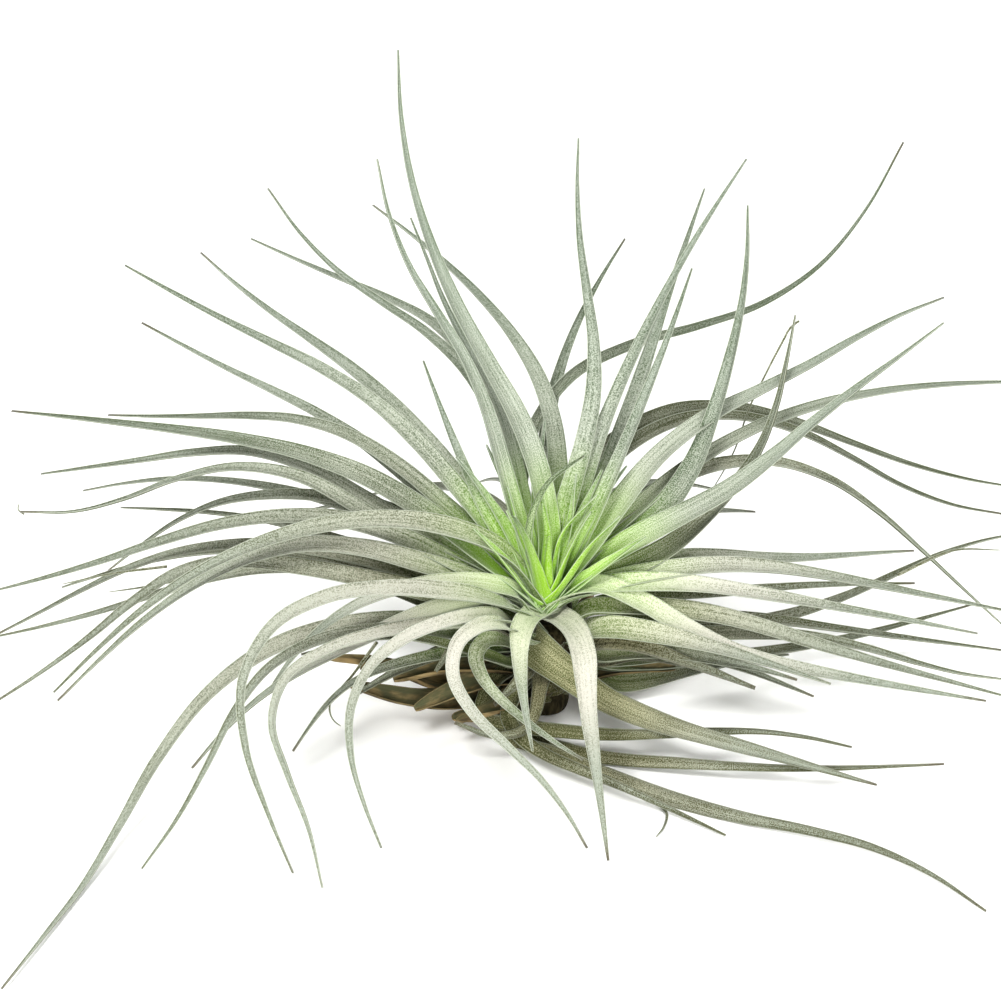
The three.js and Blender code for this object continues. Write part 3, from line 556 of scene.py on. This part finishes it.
# ---- blades ----
fineBlade = {
    "rows": 64, "across": 9, "rootInside": 4.5, "rootWidth": 1.2, "sheath": 12, "taper": 1.15,
    "tipWidth": 0.4, "thick": 0.74, "tipThick": 0.3, "rimThick": 0.34, "channel": 0.85, "rolledTip": 1.35,
    "twist": 18,
    "lean": 0.65, "widthGain": 1.32,
}


# a smooth line through points: on each span a cubic whose end slopes are those of the parabola
# through a point and its two neighbours; the samples lie at the given shares of its length
def smoothLine(points, shares):
    gaps = np.linalg.norm(np.diff(points, axis=0), axis=1)
    along = np.concatenate([[0], np.cumsum(gaps)])
    rise = np.diff(points, axis=0) / gaps[:, None]
    inner = (rise[:-1] * gaps[1:, None] + rise[1:] * gaps[:-1, None]) / (gaps[:-1] + gaps[1:])[:, None]
    slopes = np.concatenate([rise[:1], inner, rise[-1:]])
    target = shares * along[-1]
    k = np.clip(np.searchsorted(along, target, side="right") - 1, 0, len(gaps) - 1)
    gap = gaps[k][:, None]
    w = ((target - along[k]) / gaps[k])[:, None]
    return (
        (1 + 2 * w) * (1 - w) ** 2 * points[k] + w * (1 - w) ** 2 * gap * slopes[k]
        + w**2 * (3 - 2 * w) * points[k + 1] + w**2 * (w - 1) * gap * slopes[k + 1]
    )


# two directions square to each other, turned by an angle in their own plane
def turned(side, face, angle):
    cosine, sine = np.cos(angle)[:, None], np.sin(angle)[:, None]
    return side * cosine + face * sine, face * cosine - side * sine


# a blade carried along its line: each cross-section is an arc of a circle, open upwards, that turns
# through more of the circle towards the tip; its under side lies a thickness below it, thinner at the rims
def bladeSurface(points, sides, width, taper, age, tone, bare, form):
    count = form["rows"]
    shares = np.linspace(0, 1, count) ** 1.1
    line = smoothLine(points, shares)
    tangents = unit(np.gradient(line, axis=0))
    station = np.linspace(0, 1, len(points))
    side = np.stack([np.interp(shares, station, sides[:, i]) for i in range(3)], axis=1)
    side = unit(side - tangents * np.sum(side * tangents, axis=1, keepdims=True))
    face = np.cross(tangents, side)
    wave = 2 * math.pi * tone
    # a spreading leaf leans its face a little to the front, where the light comes from
    front = np.sum(side * towardsViewer, axis=1)
    facing = np.abs(np.sum(face * towardsViewer, axis=1)) + 0.3
    lean = form["lean"] * smooth(shares / 0.3) * np.arctan2(-front, facing)
    side, face = turned(side, face, lean)
    twist = math.radians(form["twist"]) * shares * (np.sin(3 * shares + wave) + 0.8 * math.sin(5 * wave))
    side, face = turned(side, face, twist)
    run = np.concatenate([[0], np.cumsum(np.linalg.norm(np.diff(line, axis=0), axis=1))])
    swell = form["rootWidth"] + (1 - form["rootWidth"]) * smooth(run / form["sheath"])
    narrowing = (1 - shares) ** (taper * form["taper"])
    full = form["tipWidth"] + (width * form["widthGain"] * swell - form["tipWidth"]) * narrowing
    full = full * (1 + 0.03 * np.sin(23 * shares + 3 * wave))
    turn = form["channel"] + (form["rolledTip"] - form["channel"]) * smooth((shares - 0.35) / 0.65)
    turn = turn + 0.22 * math.sin(7 * wave) * (1 - shares) + 0.1 * np.sin(9 * shares + wave)
    thick = form["thick"] + (form["tipThick"] - form["thick"]) * shares
    u = np.sin(np.linspace(-1, 1, form["across"]) * 1.25) / math.sin(1.25)  # closer together at the rims
    angle = turn[:, None] * u
    bend = (full / turn / 2)[:, None]  # radius of the section's arc
    across, above = bend * np.sin(angle), bend * (1 - np.cos(angle))
    depth = thick[:, None] * (form["rimThick"] + (1 - form["rimThick"]) * (1 - u**2))
    underAcross = across + np.sin(angle) * depth
    underAbove = above - np.cos(angle) * depth
    x = np.concatenate([across, underAcross[:, ::-1]], axis=1)
    y = np.concatenate([above, underAbove[:, ::-1]], axis=1)
    y = y + (thick[:, None] - above[:, -1:]) / 2  # the line runs mid-height
    surface = line[:, None] + x[..., None] * side[:, None] + y[..., None] * face[:, None]
    arc = bend * angle
    arc = np.concatenate([arc, arc[:, ::-1] + 20], axis=1)
    low = np.concatenate([np.zeros(form["across"]), np.ones(form["across"])])
    ones = np.ones_like(x)
    blade = np.stack([arc, run[:, None] * ones, low * ones], axis=-1)
    growth = np.stack([shares[:, None] * ones, age * ones, tone * ones], axis=-1)
    rim = (1 - np.abs(np.concatenate([u, u[::-1]]))) * full[:, None] / 2  # mm from the nearer edge
    rim = np.stack([rim, full[:, None] * ones, bare * ones], axis=-1)
    return surface.reshape(-1, 3), blade.reshape(-1, 3), growth.reshape(-1, 3), rim.reshape(-1, 3)


# joins the blades of several leaves in one piece; a leaf is its points, its sides, and its width, taper,
# age, tone and bareness, which on some leaves also stands for painted shade and on others for painted light
def bladePiece(name, leaves, material, form):
    surfaces = [bladeSurface(*leaf, form) for leaf in leaves]
    columns = 2 * form["across"]
    faces = []
    for i in range(len(leaves)):
        faces += tubeFaces(form["rows"], columns, i * form["rows"] * columns)
    points, blade, growth, rim = [np.concatenate(parts) for parts in zip(*surfaces)]
    return makePiece(name, points, faces, material, {"blade": blade, "growth": growth, "rim": rim})


# a leaf's line with its root carried inwards, under the leaves above it
def withRoot(i, inside):
    points, sides = linePoints[i], lineSides[i]
    out = unit(points[0] - centres[i])
    points = np.concatenate([[points[0] - out * inside], points])
    return points, np.concatenate([sides[:1], sides])


# a line that starts where it is given, right, up and how far back, and goes on along a leaf from a mark
def withSheath(i, sheath, firstKept):
    right, up, back = np.array(sheath, float).T
    near = nearWhere(planePoint(right, up), 1, back)
    points = np.concatenate([seen(right, up, near), linePoints[i][firstKept:]])
    sides = [-unit(np.cross(points[1] - points[0], towardsViewer))]
    for k in range(1, len(points)):
        tangent = unit(points[min(k + 1, len(points) - 1)] - points[k - 1])
        sides.append(unit(sides[-1] - tangent * np.dot(sides[-1], tangent)))
    return points, np.array(sides)


# number in the table: sheath, first mark kept
wrapped = {56: ([[-4.5, 15.5, -8], [-1, 12.5, -11.5], [3.5, 9, -13.5]], 2)}
ages = {"left_leaf": 0.72, "right_leaf": 0.7, "low_leaf": 0.85, "front_leaf": 0.62, "back_leaf": 0.7}
ownAges = {20: 0.65}  # a crown leaf that is older than its place says
goldenShare = 0.618
# leaves that have lost some of their felt or have more of it than others, partly real and partly painted
# shade on leaves that lie in shadow and painted light on the bright front ones: number in the table, how
# bare
usualBarenessAndShade = {"crown": 0.08, "single": 0.1}
bareness = {
    3: 0.12, 4: 0.1, 11: 0.25, 13: 0.1, 15: 0.2, 16: 0.35, 17: 0.0, 18: 0.0, 20: 0.25, 21: 0.3, 22: 0.2,
    26: 0.25, 32: -0.03, 34: 0.3, 35: 0.3, 36: -0.12, 37: -0.14, 38: 0.35, 39: 0.4, 40: 0.45, 41: 0.15,
    42: -0.04, 43: -0.05, 44: 0.3, 45: 0.35, 46: -0.1, 47: 0.0, 48: -0.14, 49: -0.08, 50: -0.02, 51: 0.3,
    52: 0.2, 53: 0.35, 54: 0.25, 55: 0.2, 56: 0.06, 57: 0.35, 58: 0.35, 59: 0.3, 60: 0.3, 61: -0.15,
    62: -0.2, 63: -0.2, 64: -0.08, 65: -0.14, 66: 0.12, 67: -0.06, 68: -0.1, 69: -0.02,
}
archWidths = {62: 1.25, 63: 1.2}  # the two that bend over at the front are broader where they bend
crownRootInside = 1.5
crownLeaves, archLeaves = [], []
placed = {}
for i, kind in enumerate(kinds):
    tone = (i * goldenShare) % 1
    if kind == "crown":
        # the upright ones are the youngest, and those that droop from their highest point the oldest
        reach = np.linalg.norm(marks[i, -1] - centres[i])
        rise = (marks[i, -1, 2] - centres[i, 2]) / reach
        droop = (marks[i, :, 2].max() - marks[i, -1, 2]) / reach
        age = ownAges.get(i, float(np.clip(0.42 - 0.42 * rise + 0.45 * droop, 0.08, 0.8)))
        own = archLeaves if i in archWidths else crownLeaves
        width = widths[i] * archWidths.get(i, 1)
        line = withRoot(i, crownRootInside)
        own.append((*line, width, tapers[i], age, tone, bareness.get(i, usualBarenessAndShade["crown"])))
    elif kind != "dead_leaves":
        placed[kind] = placed.get(kind, 0) + 1
        node = f"{kind}_{placed[kind]:02d}"
        line = withSheath(i, *wrapped[i]) if i in wrapped else withRoot(i, fineBlade["rootInside"])
        leaf = (*line, widths[i], tapers[i], ages[kind], tone, bareness.get(i, usualBarenessAndShade["single"]))
        piece = bladePiece(node.replace("_leaf_", "Leaf"), [leaf], leafMaterial, fineBlade)
        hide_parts(node)
print("single leaves made", sum(placed.values()))

# ---- crown: the upright leaves in two pieces, the young leaves of the heart, and the two arches ----
heart = {
    "leaves": 10, "length": (16, 40), "width": (3.2, 5.0), "lean": (6, 32), "turn": 137.5,
    "bow": 0.4, "spread": 1.4, "lift": 2, "taper": 0.9, "age": 0.0, "toneStep": 0.38, "bare": 0.0,
}


# a young leaf leans outwards as it rises: its distance from the axis grows with the square of its height
def heartLeaf(i):
    share = i / (heart["leaves"] - 1)
    lean = math.radians(np.interp(share, (0, 1), heart["lean"]))
    length = np.interp(share, (0, 1), heart["length"])
    around = math.radians(i * heart["turn"])
    outwards = np.array([math.cos(around), math.sin(around), 0])
    s = np.linspace(0, 1, 11)
    out = math.sin(lean) * length * s * (1 - heart["bow"] + heart["bow"] * s) + heart["spread"]
    up = math.cos(lean) * length * s * (1.1 - 0.1 * s) + heart["lift"]
    points = np.array([0, 0, 26]) + outwards * out[:, None] + np.array([0, 0, 1]) * up[:, None]
    sides = np.repeat(unit(np.cross([0, 0, 1], outwards))[None], 11, axis=0)
    width = float(np.interp(share, (0, 1), heart["width"]))
    return points, sides, width, heart["taper"], heart["age"], (i * heart["toneStep"]) % 1, heart["bare"]


# more young leaves, as seen from the front: width, how far back the middle and the tip are, path
youngRows = [
    [3.0, -4, 3, [-2.4, 31], [-4.2, 38], [-3.1, 46], [1.2, 53.6], [9.3, 59.3]],
    [3.4, 0, 2, [1.9, 32], [4.3, 41], [12.4, 50]],
    [4.0, 2, 6, [3.6, 34.5], [8.3, 45], [13.6, 56]],
    [4.2, -2, 0, [-3, 33], [-6, 41], [-9, 52]],
    [4.0, -3, -2, [0, 33], [0.4, 41], [-1, 50]],
    [4.2, 1, 2, [3, 33], [6, 43], [7.5, 55]],
    [4.6, -4, -5, [6, 31], [11, 38], [18, 45]],
    [4.6, -3, -4, [8, 29], [15, 34], [24, 40]],
    [4.6, -3, -5, [-6, 30], [-11, 36], [-17, 42]],
    [4.6, 6, 12, [-5, 37], [-8, 48], [-14, 62]],
    [4.6, 7, 14, [5, 38], [10, 51], [13, 66]],
    [4.4, 8, 16, [-1, 38], [-2, 52], [0, 68]],
]


# how the leaves of the small tables start, narrow, age, differ in tone and have lost felt
smallKinds = {
    "young": {"base": "crown", "start": 2.0, "taper": 0.8, "age": 0.0, "toneStep": 0.43, "bare": 0.0},
    "old": {"base": "single", "start": 7.5, "taper": 0.9, "age": 0.95, "toneStep": 0.47, "bare": 0.0},
    "dry": {"base": "dead_leaves", "start": 5.5, "taper": 0.5, "age": 1.0, "toneStep": 0.41, "bare": 0.3},
}
youngAges = {0: 0.3}  # the curled one is older than the other young ones


# a leaf of a small table, laid out like those of the large one but not bent clear of them
def smallLeaf(kind, row, i, age=None):
    own = smallKinds[kind]
    age = own["age"] if age is None else age
    centre = np.array([bases[own["base"]]["centre"]], float)
    points, _, sides, _ = findLines(layOut([own["base"], *row])[None], centre, np.array([own["start"]]))
    tone = (i * own["toneStep"]) % 1
    return points[0], sides[0], row[0], own["taper"], age, tone, own["bare"]


crownForm = dict(fineBlade, rootWidth=1.15, sheath=12)
heartForm = dict(fineBlade, rootWidth=1.25, sheath=9, channel=0.8, rolledTip=1.2, lean=0.45)
archForm = dict(crownForm, channel=0.7, rolledTip=1.2, lean=0.3)
half = len(crownLeaves) // 2
young = [heartLeaf(i) for i in range(heart["leaves"])]
young += [smallLeaf("young", row, i, youngAges.get(i)) for i, row in enumerate(youngRows)]
for name, leaves, form in (
    ("crownBehind", crownLeaves[:half], crownForm), ("crownSpreading", crownLeaves[half:], crownForm),
    ("crownHeart", young, heartForm), ("crownArches", archLeaves, archForm),
):
    piece = bladePiece(name, leaves, leafMaterial, form)
    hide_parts("crown")
print("crown made", len(crownLeaves))

# ---- dry leaf: bleached tan skin with the fibres standing out in it, dull; a rest of grey felt on top
dryLeaf = {
    "tan": "#93805b", "brown": "#443c2a", "felt": "#56573f", "vein": "#a3956f", "rim": "#aa9c74",
    "fibreWidth": 0.42, "fibreLength": 12,
}


def buildDryLeaf():
    look = dryLeaf
    material, tree = newMaterial("dry leaf, fibrous")
    across, along, below, _, _, tone, fromRim, _, _ = bladeValues(tree)
    lift = addNode(tree, "Math", product, tone, 61.0)
    own = addNode(tree, "CombineXYZ", None, across, along, lift)
    noise = []
    for wide, long, detail in ((look["fibreWidth"], look["fibreLength"], 3.0), (2.5, 6.25, 4.0)):
        stretched = addNode(tree, "VectorMath", product, own, (1 / wide, 1 / long, 1.0))
        noise.append(addNode(tree, "TexNoise", None, Vector=stretched, Scale=1.0, Detail=detail))
    fibre, patch = noise

    # brown patches, raised fibres, a rest of felt on the upper side and a pale rim, laid over the tan
    brown, fibres, feltPatch, paleRim = [
        addNode(tree, "MapRange", easing, *course)
        for course in (
            (patch, 0.35, 0.65, 0.0, 1.0), (fibre, 0.52, 0.75, 0.0, 0.7),
            (patch, 0.35, 0.6, 0.5, 1.3), (fromRim, 0.02, 0.12, 0.2, 0.0),
        )
    ]
    above = addNode(tree, "Math", {"operation": "SUBTRACT"}, 0.75, below)
    felt = addNode(tree, "Math", clamped, above, feltPatch)
    colour = look["tan"]
    for amount, over in ((brown, "brown"), (fibres, "vein"), (felt, "felt"), (paleRim, "rim")):
        colour = addNode(tree, "Mix", layering, amount, i6=colour, i7=look[over], output=2)
    bump = addNode(tree, "Bump", None, Strength=0.7, Distance=0.00025, Height=fibre)
    shader = addNode(
        tree, "BsdfPrincipled", None, Base_Color=colour, Roughness=0.85, Normal=bump,
        Specular_IOR_Level=0.25,
    )
    addNode(tree, "OutputMaterial", None, Surface=shader)
    return material


dryMaterial = buildDryLeaf()

# ---- stem: a short woody column, ringed by the scars of fallen leaves, with a dark hollow in its cut foot
stem = {
    "sides": 96, "scarPitch": 2.1, "scarDepth": 0.45, "scarsAround": 7,
    "profile": [
        (0.01, 1.8), (1.6, 1.7), (2.7, 1.0), (3.2, 0.1), (4.3, 0), (4.9, 0.2), (5.4, 1.3), (5.4, 5),
        (5.3, 8.7), (6.2, 9.6), (7.8, 11.6), (8.6, 14), (8.7, 17), (7.9, 20.2), (6.2, 22.4), (3.5, 23.6),
        (0.01, 23.7),
    ],
    "wood": "#262214", "scar": "#544d36",
}


def buildStem():
    look = stem
    material, tree = newMaterial("dried stem, scarred")
    place = addNode(tree, "TexCoord", output="Object")
    stretched = addNode(tree, "VectorMath", product, place, (900.0, 900.0, 160.0))
    fibre = addNode(tree, "TexNoise", None, Vector=stretched, Scale=1.0, Detail=4.0)
    amount = addNode(tree, "MapRange", None, Value=fibre, From_Min=0.4, From_Max=0.7)
    colour = addNode(tree, "Mix", layering, amount, i6=look["wood"], i7=look["scar"], output=2)
    bump = addNode(tree, "Bump", None, Strength=0.9, Distance=0.0005, Height=fibre)
    shader = addNode(
        tree, "BsdfPrincipled", None, Base_Color=colour, Roughness=0.9, Normal=bump, Specular_IOR_Level=0.2,
    )
    addNode(tree, "OutputMaterial", None, Surface=shader)
    # turned about Z; leaf scars wind up round it, each a low step that falls back towards the next
    profile = np.array(look["profile"], float)
    rows = 120
    line = smoothLine(np.insert(profile, 1, 0, axis=1), np.linspace(0, 1, rows))
    radius, height = np.maximum(line[:, 0], 0.01), np.maximum(line[:, 2], 0)
    around = np.linspace(0, 2 * math.pi, look["sides"], endpoint=False)
    wind = height[:, None] / look["scarPitch"] + look["scarsAround"] * around / (2 * math.pi)
    step = (1 - wind % 1) * (0.7 + 0.3 * np.sin(5 * around + 1.3 * height[:, None]))
    shell = smooth(np.linspace(0, 1, rows) / 0.12 - 1.6)[:, None]  # none of it in the foot
    full = radius[:, None] + look["scarDepth"] * step * shell * smooth(radius / 4)[:, None]
    points = np.stack([full * np.cos(around), full * np.sin(around), height[:, None] + 0 * full], axis=-1)
    piece = makePiece("stem", points.reshape(-1, 3), tubeFaces(rows, look["sides"]), material)
    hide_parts("stem")


buildStem()
print("stem made")

# ---- old leaf bases: short cupped sheaths, in a rising spiral, that wrap the stem under the living leaves
oldBases = {
    "count": 26, "low": 3.5, "high": 18, "width": 9, "length": 8, "lean": (14, 4), "sweep": 0.15,
    "narrowing": 0.38, "age": 0.95, "bare": 0.25,
    "rows": 26, "across": 9, "rootWidth": 1.3, "sheath": 8, "taper": 1, "tipWidth": 0.5, "widthGain": 1,
    "thick": 0.8, "tipThick": 0.3, "rimThick": 0.3, "channel": 0.9, "rolledTip": 0.9, "twist": 10,
}


def stemRadius(height):
    profile = np.array(stem["profile"][6:-1], float)
    return np.interp(height, profile[:, 1], profile[:, 0])


# a sheath leaves the stem at its lean from upright and droops as it goes: a quarter of an arc
def oldBase(i):
    share = i / (oldBases["count"] - 1)
    height = np.interp(share, (0, 1), (oldBases["low"], oldBases["high"]))
    lean = math.radians(np.interp(share, (0, 1), oldBases["lean"]))
    around = math.radians(i * heart["turn"])
    s = np.linspace(0, 1, 9)
    chance = (i * goldenShare) % 1
    length = oldBases["length"] * (0.55 + 0.75 * chance)
    out = stemRadius(height) - 1.2 + length * s * math.sin(lean) + 1.2 * s**3
    up = height + length * s * math.cos(lean) - 0.12 * length * s**2 * (1 + chance)
    # it sweeps round the stem, away from the front and the back, as the leaves above press it aside
    swept = around + oldBases["sweep"] * s * math.sin(around) * (-1 if math.cos(around) > 0 else 1)
    outwards = np.stack([np.cos(swept), np.sin(swept), 0 * swept], axis=1)
    points = outwards * out[:, None] + np.array([0, 0, 1]) * np.maximum(up, 1.2)[:, None]
    sides = unit(np.cross([0, 0, 1], np.gradient(points, axis=0)))
    width = oldBases["width"] * (0.8 + 0.3 * ((3 * i * goldenShare) % 1))
    return points, sides, width, oldBases["narrowing"], oldBases["age"], chance, oldBases["bare"]


baseForm = dict(oldBases, lean=0.0)
piece = bladePiece("oldBases", [oldBase(i) for i in range(oldBases["count"])], leafMaterial, baseForm)

# ---- old short leaves between the living ones and the stem: width, depths, path, as in the table above
oldRows = [
    [8.0, -13, -21, [-4, 15], [-11, 19], [-19, 17], [-26, 8]],
    [7.0, -9, -14, [6, 14], [18, 15], [34, 10], [50, 4]],
    [6.5, -9, -15, [-6, 12], [-18, 14], [-33, 9], [-46, 2]],
    [7.0, -4, -8, [9, 11], [22, 12], [40, 8]],
    [6.5, -15, -20, [-2, 13], [-5, 7], [-12, 0]],
    [7.0, -3, -2, [10, 15], [24, 18], [46, 14]],
    [7.0, -2, 0, [-10, 15], [-26, 19], [-46, 15]],
    [7.0, 12, 24, [-9, 12], [-18, 17], [-30, 18]],
    [7.0, 12, 24, [9, 12], [18, 17], [30, 18]],
    [7.0, 14, 30, [0, 14], [1, 22], [2, 27]],
    [4.0, -22, -26, [-4, -5], [-12, -7.4], [-21.5, -4.2]],
]
oldForm = dict(
    fineBlade, rootWidth=1.3, sheath=10, tipWidth=0.8, channel=0.9, rolledTip=1.4, tipThick=0.4,
    widthGain=1.1,
)
oldLeaves = [smallLeaf("old", row, i) for i, row in enumerate(oldRows)]
piece = bladePiece("oldLeaves", oldLeaves, leafMaterial, oldForm)

# ---- dead leaves: blunt, deeply cupped old blades, low on the stem
deadForm = dict(
    fineBlade, rows=48, rootWidth=1.2, channel=1.1, rolledTip=1.6, tipWidth=1.6, twist=24, thick=0.8,
    tipThick=0.5, lean=0.4, widthGain=1.4,
)
dry = smallKinds["dry"]
deadLeaves = [
    (*withRoot(i, 2.5), widths[i], tapers[i], dry["age"], (i * goldenShare) % 1, dry["bare"])
    for i in np.flatnonzero(kinds == "dead_leaves")
]
# seven more of them between the others: width, depths, path
dryRows = [
    [7.0, -6, -12, [-8, 9], [-22, 9], [-36, 6]],
    [7.0, -9, -16, [-6, 7], [-15, 6], [-27, 1], [-31, -1]],
    [6.5, -14, -20, [-4, 4], [-10, 0], [-21, -4]],
    [6.5, -2, -6, [-8, 7], [-24, 9], [-44, 9]],
    [5.5, 2, 4, [8, 7], [20, 9], [31, 9]],
    [6.5, 10, 22, [-8, 6], [-18, 10], [-30, 12]],
    [6.5, 12, 26, [4, 8], [10, 14], [16, 17]],
]
deadLeaves += [smallLeaf("dry", row, i) for i, row in enumerate(dryRows)]
piece = bladePiece("deadLeaves", deadLeaves, dryMaterial, deadForm)
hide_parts("dead_leaves")
print("old and dead leaves made")

# ---- withered threads and curls at the ends of a few leaves: radius, how far back both ends are, path
threads = [
    [0.26, 28, 24, [60.5, 91.5], [59.6, 91.4], [56, 85.5], [52.6, 79], [48.5, 70.5], [45, 60.5], [38.5, 49]],
    [0.45, -38, -40, [24, -22.4], [27, -23.6], [28.9, -25.8], [28.2, -29], [26.4, -31.4]],
    [0.4, -20, -22, [-40, 15], [-46, 7], [-49.5, 3], [-51.3, 0], [-50.6, -3.4], [-48.6, -5]],
    [0.4, 9, 12, [84, 31], [97, 36.7], [108.6, 36.9]],
    [0.35, 4, 6, [-90, 33], [-104, 31.2], [-115, 28.8]],
    [0.35, 4, 6, [-86, 30], [-94, 28.4], [-104, 26.9]],
    [0.2, 31, 31, [-124, 45.4], [-125.4, 46.6], [-125.2, 48]],
]
threadForm = dict(
    fineBlade, rows=32, across=4, rootWidth=1, sheath=4, taper=1, tipWidth=0.14, thick=0.3, tipThick=0.12,
    channel=1.2, rolledTip=1.2, widthGain=1, twist=40,
)


# "lowest" is the height of the middle of a thread that lies on the surface
threadLook = {"lowest": 0.5, "taper": 0.5, "age": 0.8, "tone": 0.5, "bare": 0.1}


# a thread runs through where it is seen, and its distance back changes evenly along it
def threadLine(i):
    radius, fromBack, toBack, *path = threads[i]
    right, up = evenCurve(path, 17).T
    plane = planePoint(right, up)
    back = np.linspace(fromBack, toBack, 17)
    near = np.maximum(nearWhere(plane, 1, back), nearWhere(plane, 2, threadLook["lowest"]))
    points = seen(right, up, near)
    tangents = unit(np.gradient(points, axis=0))
    sides = unit(np.cross(towardsViewer, tangents))
    return points, sides, 2 * radius, *[threadLook[key] for key in ("taper", "age", "tone", "bare")]


piece = bladePiece("witheredThreads", [threadLine(i) for i in range(len(threads))], leafMaterial, threadForm)
print("threads made")

# ---- surface and light: a plain pale floor, and soft lights above, in front and, large and far, behind
def buildFloor():
    material, tree = newMaterial("pale matt floor")
    shader = addNode(
        tree, "BsdfPrincipled", None, Base_Color="#f6f6f4", Roughness=0.9, Specular_IOR_Level=0.1,
    )
    addNode(tree, "OutputMaterial", None, Surface=shader)
    mesh = bpy.data.meshes.new("floor")
    mesh.from_pydata([(-6, -6, 0), (6, -6, 0), (6, 6, 0), (-6, 6, 0)], [], [(0, 1, 2, 3)])
    mesh.materials.append(material)
    floor = bpy.data.objects.new("floor", mesh)
    bpy.context.scene.collection.objects.link(floor)


studio = {
    "sky": ("#ffffff", 0.34),
    "above": {"place": (-0.25, -0.6, 0.9), "size": 0.3, "watts": 9.5},
    "front": {"place": (0.2, -1.1, 0.42), "size": 0.6, "watts": 10.0},
    "behind": {"place": (0.0, 1.6, 1.6), "size": 1.2, "watts": 36.0},
}


def buildLights():
    world = bpy.data.worlds.new("studio")
    world.use_nodes = True
    background = world.node_tree.nodes["Background"]
    background.inputs[0].default_value = toLinear(studio["sky"][0])
    background.inputs[1].default_value = studio["sky"][1]
    bpy.context.scene.world = world
    for name in ("above", "front", "behind"):
        data = bpy.data.lights.new(name + "Light", "AREA")
        data.size = studio[name]["size"]
        data.energy = studio[name]["watts"]
        light = bpy.data.objects.new(name + "Light", data)
        place = np.array(studio[name]["place"])
        light.location = place
        away = unit(place - np.array([0, 0, 0.04]))
        light.rotation_euler = (math.acos(away[2]), 0, math.atan2(away[0], -away[1]))
        bpy.context.scene.collection.objects.link(light)


buildFloor()
buildLights()
bpy.context.scene.view_settings.view_transform = "Standard"
bpy.context.scene.view_settings.look = "Medium High Contrast"
print("floor and lights made")
